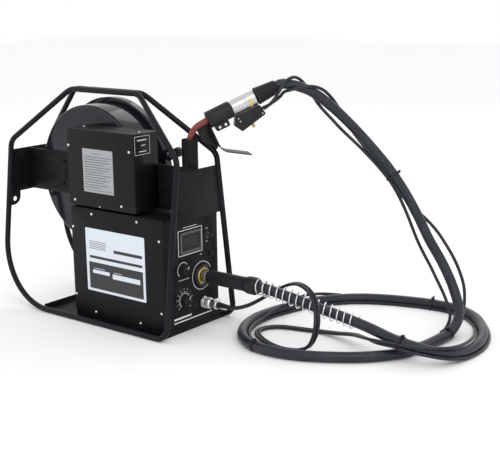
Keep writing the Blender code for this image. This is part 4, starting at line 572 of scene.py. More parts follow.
def gun_point(ahead=0.0, across=0.0, up=0.0):
    """A point of the gun's own frame."""
    return GUN_ORIGIN + GUN_AHEAD * ahead + GUN_ACROSS * across + GUN_UP * up


def gun_frame(x_axis, y_axis, z_axis, *spot):
    """A place at a spot of the gun's frame, with three of its directions as axes."""
    place = Matrix((x_axis, y_axis, z_axis)).transposed().to_4x4()
    place.translation = gun_point(*spot)
    return place


def gun_spot(*spot):
    """A place in the gun's frame whose Z runs along the barrel."""
    return gun_frame(GUN_ACROSS, GUN_UP, GUN_AHEAD, *spot)


def bevelled(mesh, edges, width, segments=2):
    """Rounds the given edges."""
    bmesh.ops.bevel(
        mesh, geom=list(edges), offset=width, segments=segments, profile=0.5, affect="EDGES", material=-1,
        clamp_overlap=True,
    )
    return mesh


def eased_edges(mesh, width, segments=2):
    """Rounds every edge whose faces turn by more than EASED_ABOVE."""
    edges = [edge for edge in mesh.edges if len(edge.link_faces) == 2 and edge.calc_face_angle() > EASED_ABOVE]
    return bevelled(mesh, edges, width, segments)


def slab(outline, axis, low, high, edge=0.0, segments=2, place=None):
    """A closed outline pushed along an axis, with both rims rounded by edge."""
    mesh = bmesh.new()
    turn = TURNS[axis]
    start = mesh.faces.new([mesh.verts.new(turn @ Vector((a, b, low))) for a, b in outline])
    moved = bmesh.ops.extrude_face_region(mesh, geom=[start])["geom"]
    verts = [item for item in moved if isinstance(item, bmesh.types.BMVert)]
    end = next(item for item in moved if isinstance(item, bmesh.types.BMFace))
    bmesh.ops.translate(mesh, verts=verts, vec=turn.to_3x3() @ Vector((0, 0, high - low)))
    if edge:
        bevelled(mesh, [*start.edges, *end.edges], edge, segments)
    if place:
        mesh.transform(place)
    return mesh


def spun(profile, place, steps=72, ring=False):
    """A profile of (radius, height) turned about the place's Z. A ring's profile closes on itself."""
    mesh = bmesh.new()
    verts = [mesh.verts.new((radius, 0, height)) for radius, height in profile]
    edges = [mesh.edges.new(pair) for pair in zip(verts, verts[1:])]
    if ring:
        edges.append(mesh.edges.new((verts[-1], verts[0])))
    bmesh.ops.spin(
        mesh, geom=verts + edges, cent=(0, 0, 0), axis=(0, 0, 1), angle=math.tau, steps=steps, use_merge=True
    )
    bmesh.ops.remove_doubles(mesh, verts=mesh.verts, dist=1e-4)
    mesh.transform(place)
    return mesh


def lathed(profile, place, edge, arcs, steps, ring=False):
    """A turned piece whose profile has its corners rounded by edge, in so many steps."""
    return spun(filleted(profile, edge, arcs, ring), place, steps, ring)


def bar(radius, low, high, place, edge=0.5, steps=48):
    """A round bar with rounded ends."""
    return lathed([(0, low), (radius, low), (radius, high), (0, high)], place, edge, 3, steps)


def joined(*meshes):
    """One bmesh of several, which are freed."""
    whole = meshes[0]
    for mesh in meshes[1:]:
        data = bpy.data.meshes.new("part")
        mesh.to_mesh(data)
        mesh.free()
        whole.from_mesh(data)
        bpy.data.meshes.remove(data)
    return whole


def copied(node, width=0.4, segments=2):
    """A CAD node's shape with its doubles merged, its flats made whole and its edges rounded."""
    mesh = bmesh.new()
    mesh.from_mesh(frame["nodes"][node].data)
    mesh.transform(Matrix.Scale(1 / MM, 4))
    bmesh.ops.remove_doubles(mesh, verts=mesh.verts, dist=0.005)
    bmesh.ops.dissolve_limit(
        mesh, angle_limit=math.radians(1), use_dissolve_boundaries=False, verts=mesh.verts, edges=mesh.edges
    )
    if width:
        eased_edges(mesh, width, segments)
    return mesh


def carved(mesh, *cutters):
    """A bmesh with others cut from it."""
    objects = []
    for item in (mesh, *cutters):
        bmesh.ops.recalc_face_normals(item, faces=item.faces)
        data = bpy.data.meshes.new("carved")
        item.to_mesh(data)
        item.free()
        objects.append(bpy.data.objects.new("carved", data))
        bpy.context.scene.collection.objects.link(objects[-1])
    for cutter in objects[1:]:
        change = objects[0].modifiers.new("cut", "BOOLEAN")
        change.operation = "DIFFERENCE"
        change.solver = "EXACT"
        change.object = cutter
    graph = bpy.context.evaluated_depsgraph_get()
    result = bmesh.new()
    data = bpy.data.meshes.new_from_object(objects[0].evaluated_get(graph))
    result.from_mesh(data)
    bpy.data.meshes.remove(data)
    for item in objects:
        spare = item.data
        bpy.data.objects.remove(item)
        bpy.data.meshes.remove(spare)
    return result


def shown(name, mesh, look, node=None, body="root"):
    """Makes a bmesh in millimetres a piece that rides on a body and may stand for a CAD node."""
    bmesh.ops.remove_doubles(mesh, verts=mesh.verts, dist=1e-4)
    bmesh.ops.recalc_face_normals(mesh, faces=mesh.faces)
    mesh.transform(Matrix.Scale(MM, 4))
    data = bpy.data.meshes.new(name)
    mesh.to_mesh(data)
    mesh.free()
    data.shade_smooth()
    data.set_sharp_from_angle(angle=SHARP_ABOVE)
    return placed(bpy.data.objects.new(name, data), look, node, body)


def placed(piece, look, node, body="root"):
    """Gives a piece its finish and its body, and hides the CAD node that it stands for."""
    made = finish(look)
    piece.data.materials.append(made.material)
    bpy.context.scene.collection.objects.link(piece)
    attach(piece, body)
    if node:
        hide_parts(node)
    return piece


def swept(name, points, radius, look, node=None, sides=6, closed=False, widths=None):
    """A round bar or cord along points in metres; widths are shares of the radius."""
    data = bpy.data.curves.new(name, "CURVE")
    data.dimensions = "3D"
    data.bevel_depth = radius * MM
    data.bevel_resolution = sides
    data.use_fill_caps = not closed
    spline = data.splines.new("POLY")
    spline.points.add(len(points) - 1)
    for i, (knot, point) in enumerate(zip(spline.points, points)):
        knot.co = (*point, 1)
        knot.radius = widths[i] if widths else 1.0
    spline.use_cyclic_u = closed
    spline.use_smooth = True
    return placed(bpy.data.objects.new(name, data), look, node)


def lettered(text, size, place):
    """Plain characters, made a mesh on a place whose Z is out of the surface."""
    data = bpy.data.curves.new(text, "FONT")
    data.body = text
    data.size = size
    data.align_x = data.align_y = "CENTER"
    data.extrude = LETTER / 2
    data.resolution_u = 3
    words = bpy.data.objects.new(text, data)
    bpy.context.scene.collection.objects.link(words)
    bpy.context.view_layer.update()
    graph = bpy.context.evaluated_depsgraph_get()
    flat = bpy.data.meshes.new_from_object(words.evaluated_get(graph))
    bpy.data.objects.remove(words)
    bpy.data.curves.remove(data)
    mesh = bmesh.new()
    mesh.from_mesh(flat)
    bpy.data.meshes.remove(flat)
    mesh.transform(place @ Matrix.Translation((0, 0, LETTER / 2)))
    return mesh


def printed(fields, place, thick, radius=0.0, lift=0.0):
    """Thin rectangles, lifted off a place whose Z is out of the surface, as one bmesh."""
    return joined(*[slab(rectangle(*field, radius), "Z", lift, lift + thick, 0.0, 1, place) for field in fields])


def screw(place, radius=3.4):
    """A cross-recessed pan head on a place whose Z is out of the surface."""
    dome = [(0, 0.62 * radius), (0.35 * radius, 0.6 * radius), (0.7 * radius, 0.48 * radius)]
    dome += [(0.93 * radius, 0.25 * radius), (radius, 0), (radius, -0.3), (0, -0.3)]
    head = spun(dome, Matrix.Identity(4), 28)
    arm = 0.13 * radius
    slots = [
        slab(rectangle(-0.52 * radius, 0.52 * radius, -arm, arm), "Z", 0.22 * radius, radius),
        slab(rectangle(-arm, arm, -0.52 * radius, 0.52 * radius), "Z", 0.22 * radius, radius),
    ]
    head = carved(head, *slots)
    head.transform(place @ Matrix.Rotation(0.4, 4, "Z"))
    return head


# ---------------------------------------------------------------- lead routes, in metres


def smooth_curve(route, spacing):
    """Points about spacing apart on a centripetal Catmull-Rom curve through the route's points."""
    knots = [Vector(point) for point in route]
    knots = [2 * knots[0] - knots[1]] + knots + [2 * knots[-1] - knots[-2]]
    fine = []
    for a, b, c, d in zip(knots, knots[1:], knots[2:], knots[3:]):
        t1 = (b - a).length ** 0.5
        t2 = t1 + (c - b).length ** 0.5
        t3 = t2 + (d - c).length ** 0.5
        for k in range(12):
            t = t1 + (t2 - t1) * k / 12
            ab = a.lerp(b, t / t1)
            bc = b.lerp(c, (t - t1) / (t2 - t1))
            cd = c.lerp(d, (t - t2) / (t3 - t2))
            fine.append(ab.lerp(bc, t / t2).lerp(bc.lerp(cd, (t - t1) / (t3 - t1)), (t - t1) / (t2 - t1)))
    fine.append(knots[-2])
    return respaced(fine, spacing)


def respaced(fine, spacing):
    """The same path with its points an even distance apart."""
    lengths = [0.0]
    for a, b in zip(fine, fine[1:]):
        lengths.append(lengths[-1] + (b - a).length)
    count = max(2, round(lengths[-1] / spacing))
    points = []
    at = 0
    for k in range(count + 1):
        goal = lengths[-1] * k / count
        while at < len(fine) - 2 and lengths[at + 1] < goal:
            at += 1
        points.append(fine[at].lerp(fine[at + 1], (goal - lengths[at]) / (lengths[at + 1] - lengths[at])))
    return points


def lead_path(spacing):
    """The torch lead from its plug's grip to the gun's boot."""
    start = Vector((HANDLE_END + 0.3, WIRE_Y, WIRE_Z)) * MM
    route = [start + Vector((0.012, 0, 0)), *LEAD_ROUTE, gun_point(LEAD_STRAIGHT) * MM]
    return [start] + smooth_curve(route, spacing) + [gun_point(BOOT_END) * MM]


def across_cord(tangent):
    """The directions to a cord's right side and to its top."""
    side = tangent.cross(Vector((0, 0, 1))).normalized()
    return side, side.cross(tangent)


def beside(points, at, angle, slack=0.0):
    """A point beside the torch lead; the angle runs from its top to its right side."""
    side, up = across_cord((points[at + 1] - points[at - 1]).normalized())
    reach = (LEAD_R + THIN_R + 0.3) * MM + slack
    return points[at] + reach * (up * math.cos(angle) + side * math.sin(angle))


def nearest(points, goal):
    """The index of the point nearest to a goal."""
    return min(range(len(points)), key=lambda i: (points[i] - Vector(goal)).length)


def crossed(at, start, end, before, after):
    """A thin lead's angle on its way over the torch lead, and how far it lifts off it there."""
    share = min(max((at - start) / (end - start), 0.0), 1.0)
    return before + (after - before) * share, CROSSING_SLACK * 4 * share * (1 - share)


def smoothed(share):
    """A share from 0 to 1 with a slow start and end."""
    share = min(max(share, 0.0), 1.0)
    return share * share * (3 - 2 * share)


def wound(lead, tied_at, winds):
    """A thin lead's points from the upper tie to the gun, where it winds round the torch lead."""
    rows = smooth_curve([(away / MM, angle, off) for away, angle, off in winds], 2.0)
    points = []
    for at in range(len(lead) - 3, tied_at + 1, -2):
        away = run_length(lead[at:]) / MM
        row = min(rows, key=lambda item: abs(item.x - away))
        points.append(beside(lead, at, math.radians(row.y), row.z * MM))
    return points[::-1]


def attached_paths(lead):
    """Both thin leads along the torch lead, with a little play where they aren't tied."""
    last = nearest(lead, gun_point(THIN_LAST) * MM)
    join = nearest(lead, THIN_JOINS)
    second_crossed = nearest(lead, SECOND_CROSSED)
    first_crosses = nearest(lead, FIRST_CROSSES)
    first_crossed = nearest(lead, FIRST_CROSSED)
    rise = nearest(lead, THIN_RISES)
    tied_at = nearest(lead, TIE_SPOTS[-1])
    upper = SIDE_ANGLE - NESTLED
    first = []
    second = []
    for at in [*range(join, tied_at - 1, 4), tied_at]:
        under = smoothed((at - rise - 6) / (0.35 * (last - rise)))
        apart = math.sin(math.pi * max((at - rise) / (tied_at - rise), 0.0)) ** 2
        angle, slack = crossed(at, first_crosses, first_crossed, SIDE_ANGLE, -upper)
        turn = (upper - UNDER_ANGLE) * under + HANG_BELOW * apart
        first.append(beside(lead, at, angle + turn, slack + HANG_SLACK * apart))
        angle, slack = crossed(at, join, second_crossed, upper, -SIDE_ANGLE)
        turn = (SIDE_ANGLE + UNDER_ANGLE - math.tau) * under + HANG_ABOVE * apart
        second.append(beside(lead, at, angle + turn, slack + HANG_SLACK * apart))
    return first + wound(lead, tied_at, FIRST_WINDS), second + wound(lead, tied_at, SECOND_WINDS)


def pair_sides(points, first_side, last_side):
    """The direction from one thin lead to the other, kept level without sudden turns."""
    level = []
    for i in range(len(points)):
        ahead = points[min(i + 1, len(points) - 1)] - points[max(i - 1, 0)]
        flat = Vector((ahead.x, ahead.y, 0))
        steep = flat.length < 0.6 * ahead.length
        level.append(None if steep else Vector((0, 0, 1)).cross(flat).normalized())
    previous = first_side
    for i, side in enumerate(level):
        if side is None:
            later = next(item for item in level[i:] if item is not None)
            side = previous.lerp(later if later.dot(previous) > 0 else -later, 0.2)
        elif side.dot(previous) < 0:
            side = -side
        previous = side.normalized()
        level[i] = previous
    for i in range(len(level)):
        level[i] = level[i].lerp(last_side, smoothed((i - len(level) + 6) / 5))
    for _ in range(2):
        around = zip([first_side] + level[:-1], level, level[1:] + [last_side])
        level = [(a + 2 * b + c) / 4 for a, b, c in around]
    sides = []
    for i, side in enumerate(level):
        tangent = (points[min(i + 1, len(points) - 1)] - points[max(i - 1, 0)]).normalized()
        sides.append((side - tangent * side.dot(tangent)).normalized())
    return sides


def thin_paths(lead):
    """Both thin leads: side by side from the plug, then along the torch lead, and into the trigger box."""
    held_first, held_second = attached_paths(lead)
    start = Vector((PLUG_END + 0.3, *CONTROL)) * MM
    route = [start + Vector((0.014, 0, 0)), *THIN_ROUTE, (held_first[0] + held_second[0]) / 2]
    middle = [start] + smooth_curve(route, 0.028)
    sides = pair_sides(middle, Vector((0, 1, 0)), (held_second[0] - held_first[0]).normalized())
    paths = []
    for held, way, enters in ((held_first, -1, FIRST_ENTERS), (held_second, 1, SECOND_ENTERS)):
        path = []
        for point, side in zip(middle[:-1], sides):
            reach = side * (THIN_R + 0.15) * MM
            lift = max(0.0, 0.004 - point.z + abs(reach.z))
            path.append(point + Vector((0, 0, lift)) + way * reach)
        path += held + [gun_point(*spot) * MM for spot in enters]
        paths.append(smooth_curve(path, 0.006))
    return paths


def run_length(points):
    """The length of a path."""
    return sum((b - a).length for a, b in zip(points, points[1:]))


def tie_loop(circles):
    """Points of a band pulled tight round circles of (centre, radius), in millimetres."""
    around = []
    for centre, radius in circles:
        for k in range(32):
            turn = Vector((math.cos(math.tau * k / 32), math.sin(math.tau * k / 32)))
            around.append(centre + turn * (radius + 0.35))
    hull = [Vector((*around[i], 0)) for i in convex_hull_2d(around)]
    return respaced(hull + [hull[0]], 1.6)[:-1]


def tied(lead, others, spot, width, thick):
    """A nylon tie round the leads where they pass a spot, with its head on top."""
    at = nearest(lead, spot)
    origin = lead[at]
    tangent = (lead[at + 1] - lead[at - 1]).normalized()
    side, up = across_cord(tangent)
    circles = [(Vector((0, 0)), LEAD_R)]
    for other in others:
        near = other[nearest(other, origin)] - origin
        circles.append((Vector((near.dot(side), near.dot(up))) / MM, THIN_R))
    loop = tie_loop(circles)
    mesh = bmesh.new()
    rings = []
    for offset in (0.0, thick):
        verts = []
        for i, point in enumerate(loop):
            run = loop[(i + 1) % len(loop)] - loop[i - 1]
            out = Vector((run.y, -run.x, 0)).normalized()
            if out.dot(point) < 0:
                out = -out
            spread = point + out * offset
            verts.append(mesh.verts.new((spread.x, spread.y, -width / 2)))
        rings += [mesh.edges.new((a, b)) for a, b in zip(verts, verts[1:] + verts[:1])]
    faces = bmesh.ops.bridge_loops(mesh, edges=rings)["faces"]
    moved = bmesh.ops.extrude_face_region(mesh, geom=faces)["geom"]
    bmesh.ops.translate(mesh, verts=[v for v in moved if isinstance(v, bmesh.types.BMVert)], vec=(0, 0, width))
    bmesh.ops.recalc_face_normals(mesh, faces=mesh.faces)
    top = max(loop, key=lambda point: point.y)
    upended = Matrix.Rotation(-math.pi / 2, 4, "X")
    head = slab(rectangle(top.x - 3.4, top.x + 3.4, -3.1, 3.1, 0.8, 3), "Z", 0, 4.2, 0.6)
    head.transform(Matrix.Translation((0, top.y + 0.6, 0)) @ upended)
    tail = slab(rectangle(top.x + 3, top.x + 9, -1.9, 1.9, 0.6, 2), "Z", 0, 1.1, 0.3)
    tail.transform(Matrix.Translation((0, top.y + 1.6, 0)) @ Matrix.Rotation(0.35, 4, "Z") @ upended)
    whole = joined(mesh, head, tail)
    place = Matrix((side, up, tangent)).transposed().to_4x4()
    place.translation = origin / MM
    whole.transform(place)
    return whole


# ---------------------------------------------------------------- settings


def colour_setting(name, description, default):
    """A colour that can be changed."""
    return bpy.props.FloatVectorProperty(
        name=name, description=description, default=default, subtype="COLOR", size=3, min=0, max=1
    )


def length_setting(name, description, default, least):
    """A length that can be changed; its default and its least are in millimetres."""
    return bpy.props.FloatProperty(
        name=name, description=description, default=default * MM, min=least * MM, unit="LENGTH"
    )


class FeederLook(bpy.types.PropertyGroup):
    """Colours of the painted and moulded pieces."""

    paint_colour: colour_setting("Powder coat", "Colour of the boxes and plates", (0.0065, 0.0068, 0.0085))
    rod_colour: colour_setting("Frame bars", "Colour of the bent bars", (0.008, 0.009, 0.012))
    drum_colour: colour_setting("Drum paint", "Colour of the wire drum and its lid", (0.008, 0.0095, 0.013))
    lead_colour: colour_setting("Leads", "Colour of the leads' sheath", (0.009, 0.012, 0.019))


class FeederSizes(bpy.types.PropertyGroup):
    """Sizes of the small pieces that the CAD frame doesn't fix."""

    screw_radius: length_setting("Screw head", "Radius of the cover screws' heads", 3.3, 1)
    edge: length_setting("Edge", "Rounding of cut sheet edges", 0.4, 0.1)
    tie_width: length_setting("Tie width", "Width of the nylon ties", 4.6, 1)
    tie_thickness: length_setting("Tie thickness", "Thickness of the nylon ties", 1.3, 0.5)
    spring_turns: bpy.props.IntProperty(
        name="Spring turns", description="Turns of the bend spring on the torch lead", default=15, min=4, max=40
    )
    spring_wire: length_setting("Spring wire", "Radius of the bend spring's wire", 1.5, 0.5)
    weld_radius: length_setting("Weld bead", "Radius of the weld beads", 1.7, 0.5)


def edge_width():
    """The rounding of cut sheet edges, in millimetres."""
    return bpy.context.scene.feeder_sizes.edge / MM


# ---------------------------------------------------------------- stage


class FEEDER_OT_stage(bpy.types.Operator):
    """Floor, light and camera"""

    bl_idname = "feeder.stage"
    bl_label = "Stage"

    def execute(self, context):
        scene = context.scene
        floor = bmesh.new()
        bmesh.ops.create_grid(floor, x_segments=1, y_segments=1, size=FLOOR_HALF)
        data = bpy.data.meshes.new("floor")
        floor.to_mesh(data)
        floor.free()
        ground = bpy.data.objects.new("floor", data)
        scene.collection.objects.link(ground)
        pale = Finish("pale floor", None, base_color=(0.96, 0.96, 0.96), roughness=0.8, specular_ior_level=0.1)
        data.materials.append(pale.material)

        scene.world = bpy.data.worlds.new("studio")
        scene.world.use_nodes = True
        sky = Nodes(scene.world.node_tree)
        rays = sky.node("ShaderNodeLightPath").outputs
        seen = Number(sky, rays["Is Camera Ray"])
        for kind in ("Is Glossy Ray", "Is Transmission Ray"):
            seen = seen.maths("MAXIMUM", seen, rays[kind])
        soft = sky.tree.nodes["Background"]
        sky.feed(soft.inputs["Color"], (0.99, 0.995, 1))
        sky.feed(soft.inputs["Strength"], 1.0)
        white = sky.node("ShaderNodeBackground", None, {"Color": (1, 1, 1)})
        both = sky.node("ShaderNodeMixShader", None, {0: seen, 1: soft.outputs[0], 2: white.outputs[0]})
        sky.feed(sky.tree.nodes["World Output"].inputs["Surface"], both.outputs[0])

        for name, spot, size, power in LAMPS:
            lamp = bpy.data.lights.new(name, "AREA")
            lamp.shape = "DISK"
            lamp.size = size
            lamp.energy = power
            holder = bpy.data.objects.new(name, lamp)
            holder.location = spot
            holder.rotation_euler = (Vector(LIT_SPOT) - Vector(spot)).to_track_quat("-Z", "Y").to_euler()
            scene.collection.objects.link(holder)

        lens = bpy.data.cameras.new("camera")
        lens.sensor_fit = "HORIZONTAL"
        lens.sensor_width = 36
        lens.lens = CAMERA_LENS
        eye = bpy.data.objects.new("camera", lens)
        scene.collection.objects.link(eye)
        axes = Matrix((CAMERA_RIGHT, [-v for v in CAMERA_DOWN], [-v for v in CAMERA_AHEAD]))
        view = axes.transposed().to_4x4()
        view.translation = CAMERA_AT
        eye.matrix_world = view
        scene.camera = eye
        scene.view_settings.view_transform = "Standard"
        return {"FINISHED"}


# ---------------------------------------------------------------- leads


def torch_plug():
    """The torch plug's knurled nut and its ribbed grip."""
    line = lengthwise(WIRE_Y, WIRE_Z)
    knurl = slab(fluted(14.1, 13.2, 14, 3), "Z", 247.8, 258.5, 0.7, 2, line)
    collar = lathed([(5.1, 258), (13.3, 258), (13.3, 262), (5.1, 262)], line, 0.6, 2, 64, True)
    nut = shown("plug_nut_knurled", joined(knurl, collar), "chrome", "plug_nut", "nut")
    rings = [(0, 247.8), (4.8, 247.8), (4.8, 262.3), (14.4, 262.3), (15.5, 264)]
    for k in range(14):
        x = 272 + 6.2 * k
        rings += [(15.5, x), (15.1, x + 0.5), (15.1, x + 1.3), (15.5, x + 1.8)]
    rings += [(15.5, 362), (19, 374), (19, 391), (16.5, HANDLE_END), (0, HANDLE_END)]
    return [nut, shown("torch_plug_grip", lathed(rings, line, 0.8, 2, 72), "rubber", "torch_plug_handle")]


def spring_path(turns):
    """The bend spring's helix round the torch lead, from the grip on, in metres."""
    spacing = 0.002
    core = respaced(lead_path(0.004), spacing)[1:]
    core = core[: round(SPRING_LENGTH / spacing)]
    helix = []
    for k in range(turns * 28 + 1):
        at = (len(core) - 1) * k / (turns * 28)
        low = min(int(at), len(core) - 2)
        side, up = across_cord((core[low + 1] - core[low]).normalized())
        angle = math.tau * k / 28
        around = up * math.cos(angle) + side * math.sin(angle)
        helix.append(core[low].lerp(core[low + 1], at - low) + SPRING_R * around)
    return helix


def control_plug():
    """The thin leads' plug with its ridges and cable clamp, and their ribbed relief."""
    y, z = CONTROL
    line = lengthwise(y, z)
    body = [(0, 253.3), (10.6, 253.3), (12, 254.5), (12, 262.5), (9.5, 265), (9.5, 272), (11, 273.5), (11, 281)]
    body += [(10, PLUG_END), (0, PLUG_END)]
    parts = [lathed(body, line, 0.6, 2, 64)]
    for x in (255.5, 257.5, 259.5):
        ridge = [(11.9, x), (12.35, x + 0.2), (12.35, x + 0.9), (11.9, x + 1.1)]
        parts.append(lathed(ridge, line, 0.1, 1, 64, True))
    saddle = slab(rectangle(-9.5, 9.5, 274.6, 282.4, 1.2), "Z", 8.5, 13.2, 0.8, 2)
    saddle.transform(Matrix(((0, 1, 0, 0), (1, 0, 0, y), (0, 0, 1, z), (0, 0, 0, 1))))
    parts.append(saddle)
    parts += [screw(upright(278.5, y + way * 6.3, 66.1), 2.3) for way in (-1, 1)]
    plug = shown("control_plug_shell", joined(*parts), "spring", "control_plug")
    rings = [(0, 284.4)]
    for k in range(9):
        x = 284.4 + 3 * k
        wide = 8.2 - 0.28 * k
        rings += [(wide, x), (wide, x + 1.8), (wide - 0.9, x + 2.2), (wide - 0.9, x + 2.8)]
    relief = lathed([*rings, (5.4, 312), (0, 312)], line @ Matrix.Diagonal((0.8, 1, 1, 1)), 0.3, 1, 48)
    return [plug, shown("thin_lead_relief", relief, "rubber")]


def laid(name, path, radius, look, node, sides):
    """A lead along a path in metres."""
    cable = swept(name, path, radius, look, node, sides=sides)
    run_length(path)


class FEEDER_OT_leads(bpy.types.Operator):
    """Torch lead with its plug and bend spring, the two thin leads, their relief and the ties"""

    bl_idname = "feeder.leads"
    bl_label = "Leads"

    def execute(self, context):
        sizes = context.scene.feeder_sizes
        lead = smooth_curve(lead_path(0.06), 0.008)
        pieces = torch_plug()
        helix = spring_path(sizes.spring_turns)
        pieces.append(swept("bend_spring", helix, sizes.spring_wire / MM, "spring", "support_spring", sides=3))
        thin = thin_paths(lead)
        for i, spot in enumerate(TIE_SPOTS):
            band = tied(lead, thin, spot, sizes.tie_width / MM, sizes.tie_thickness / MM)
            pieces.append(shown(f"tie_{i}", band, "tie"))
        laid("torch_cable", lead, LEAD_R, "sheath", "torch_lead", 6)
        for name, path, pieces in (("a", thin[0], control_plug()), ("b", thin[1], [])):
            laid(f"thin_cable_{name}", path, THIN_R, "thin sheath", f"control_lead_{name}", 4)
        return {"FINISHED"}


# ---------------------------------------------------------------- carrying frame


def post_weld(name, x, side, face, low, high, radius):
    """A rippled bead up a leaning post, where a cross plate meets it."""
    count = 44
    points = []
    widths = []
    for k in range(count + 1):
        z = low + (high - low) * k / count
        half = FOOT_HALF + (SHOULDER_HALF - FOOT_HALF) * (z - ROD) / (SHOULDER_Z - ROD)
        points.append(Vector((x + face * 2.1, side * (half - ROD + 0.4), z)) * MM)
        widths.append(0.82 + 0.2 * abs(math.sin(k * 1.9)))
    widths[0] = widths[-1] = 0.35
    swept(name, points, radius, "rod paint", sides=3, widths=widths)


class FEEDER_OT_hoops(bpy.types.Operator):
    """The two bent bars and the welds that hold the plates to them"""

    bl_idname = "feeder.hoops"
    bl_label = "Hoops and welds"

    def execute(self, context):
        for name, side in (("near", -1), ("far", 1)):
            foot = side * FOOT_HALF
            shoulder = side * SHOULDER_HALF
            top = side * (ROD + 0.15)
            corners = [
                (-POST_X, foot, ROD), (POST_X, foot, ROD), (POST_X, shoulder, SHOULDER_Z),
                (HANDLE_FRONT, top, HANDLE_Z), (HANDLE_REAR, top, HANDLE_Z), (-POST_X, shoulder, SHOULDER_Z),
            ]
            bends = [150, 30, 30, 40, 40, 30]
            path = [point * MM for point in filleted(corners, bends, 18, closed=True)]
            swept(f"{name}_bar", path, ROD, "rod paint", f"{name}_hoop", sides=8, closed=True)
        radius = context.scene.feeder_sizes.weld_radius / MM
        for name, x, low, high in (("rear", -POST_X, 262, 360), ("front", POST_X, 256, 356)):
            for side in (-1, 1):
                for face in (-1, 1):
                    post_weld(f"weld_{name}_{side + 1}_{face + 1}", x, side, face, low, high, radius)
        return {"FINISHED"}


class FEEDER_OT_plates(bpy.types.Operator):
    """Base pan, cross plates, centre plate and torch holder"""

    bl_idname = "feeder.plates"
    bl_label = "Plates and pan"

    def execute(self, context):
        for node in ("base_pan", "rear_cross_plate", "front_cross_plate", "centre_plate"):
            shown(f"{node}_cut", copied(node, edge_width()), "powder", node)
        pipe = [(17.5, 268), (17.5, 418.5), (15.5, 418.5), (15.5, 268)]
        shown("holder_pipe", lathed(pipe, upright(*HOLDER), 0.6, 3, 80, True), "powder", "torch_holder_tube")
        spots = [(low, way) for low in (272, 336) for way in (-1, 1)]
        for i, (low, way) in enumerate(spots):
            points = [Vector((HOLDER[0] + way * 7, -9.4, low + 20 * k / 10)) * MM for k in range(11)]
            swept(f"holder_weld_{i}", points, 1.6, "powder", sides=3, widths=[0.5] + [1, 0.8] * 4 + [1, 0.5])
        return {"FINISHED"}


# ---------------------------------------------------------------- drum


def knob_spot():
    """The lid knob's (x, z)."""
    return (DRUM_X + KNOB_REACH * math.cos(KNOB_ANGLE), DRUM_Z + KNOB_REACH * math.sin(KNOB_ANGLE))


def ear(radius, low, hole):
    """A rim ear with its hole, pushed out along the knob's angle."""
    x, z = knob_spot()
    out = Vector((math.cos(KNOB_ANGLE), math.sin(KNOB_ANGLE)))
    side = Vector((-out.y, out.x)) * 15
    root = Vector((DRUM_X, DRUM_Z)) + out * radius
    base = math.degrees(KNOB_ANGLE)
    tip = [math.radians(base - 90 + 180 * i / 20) for i in range(21)]
    outline = [tuple(root - side), *[(x + 9 * math.cos(a), z + 9 * math.sin(a)) for a in tip], tuple(root + side)]
    drill = [(0, low - 4), (hole, low - 4), (hole, low + 8), (0, low + 8)]
    return carved(slab(outline, "Y", low, low + 3, 0.4), spun(drill, crosswise(x, z), 32))


class FEEDER_OT_drum(bpy.types.Operator):
    """Drum shell, its hinged lid and the lid's screw knob"""

    bl_idname = "feeder.drum"
    bl_label = "Drum"

    def execute(self, context):
        drum = crosswise()
        inner = DRUM_R - SHEET
        shell = [(0, -9.7), (DRUM_R, -9.7), (DRUM_R, 80), (inner, 80), (inner, -8.2), (0, -8.2)]
        parts = [lathed(shell, drum, [0, 6.5, 0.3, 0.3, 5, 0], 10, 160), ear(DRUM_R - 1, 54, 4.2)]
        x, y = HINGE
        pin = upright(x, y)
        root = DRUM_X - DRUM_R + 2
        leaf = [(root, 52), (root, 62), (x + 4, 62), (x + 4, y), (x - 4, y), (x - 4, 58)]
        for low in (288.3, 326.3):
            parts.append(slab(filleted(leaf, 0.8, 3, True), "Z", low, low + 12, 0.4))
            parts.append(bar(4.5, low, low + 12, pin, 0.5))
        parts.append(bar(2.2, 286.3, 340.3, pin, 0.6, 32))
        shown("drum_body", joined(*parts), "gloss", "drum_shell")

        lid = [(0, LID_FACE), (LID_R, LID_FACE), (LID_R, 64), (161.5, 64), (161.5, 66), (170, 66)]
        lid += [(170, 83.6), (0, 83.6)]
        bead = [(128, LID_FACE - 0.4), (131, LID_FACE + 1.1), (134, LID_FACE + 1.1), (137, LID_FACE - 0.4)]
        root = DRUM_X - LID_R + 2.5
        strap = [(root, 68), (root, 76), (x + 4, 73), (x - 2, 68), (x, y), (x + 4, y)]
        barrel = [(2.3, 300.7), (4.5, 300.7), (4.5, 325.9), (2.3, 325.9)]
        parts = [
            lathed(lid, drum, [0, 3.2, 1, 0.4, 0.4, 0.6, 1.4, 0], 6, 160),
            lathed(bead, drum, 1.5, 4, 160, True),
            ear(LID_R - 1, 78.6, 3.1),
            slab(filleted(strap, 0.6, 2, True), "Z", 300.7, 325.9, 0.3),
            lathed(barrel, pin, 0.4, 2, 40, True),
        ]
        shown("lid_cover", joined(*parts), "gloss", "drum_lid", "lid")

        place = crosswise(*knob_spot())
        grip = slab(fluted(11.6, 10.2, 8), "Z", 82.2, 94.6, 1.2, 3, place)
        top = lathed([(0, 94.9), (6.5, 94.9), (7.5, 94), (7.5, 93), (0, 93)], place, 0.4, 2, 40)
        stud = [bar(3, 52, 84, place, 0.6, 32)]
        for z in range(54, 76):
            stud.append(lathed([(2.9, z), (3.0, z + 0.35), (2.9, z + 0.7)], place, 0.1, 1, 24, True))
        shown("lid_screw_grip", joined(grip, top), "plastic", "lid_knob", "lid_screw")
        shown("lid_screw_stud", joined(*stud), "zinc", None, "lid_screw")
        return {"FINISHED"}


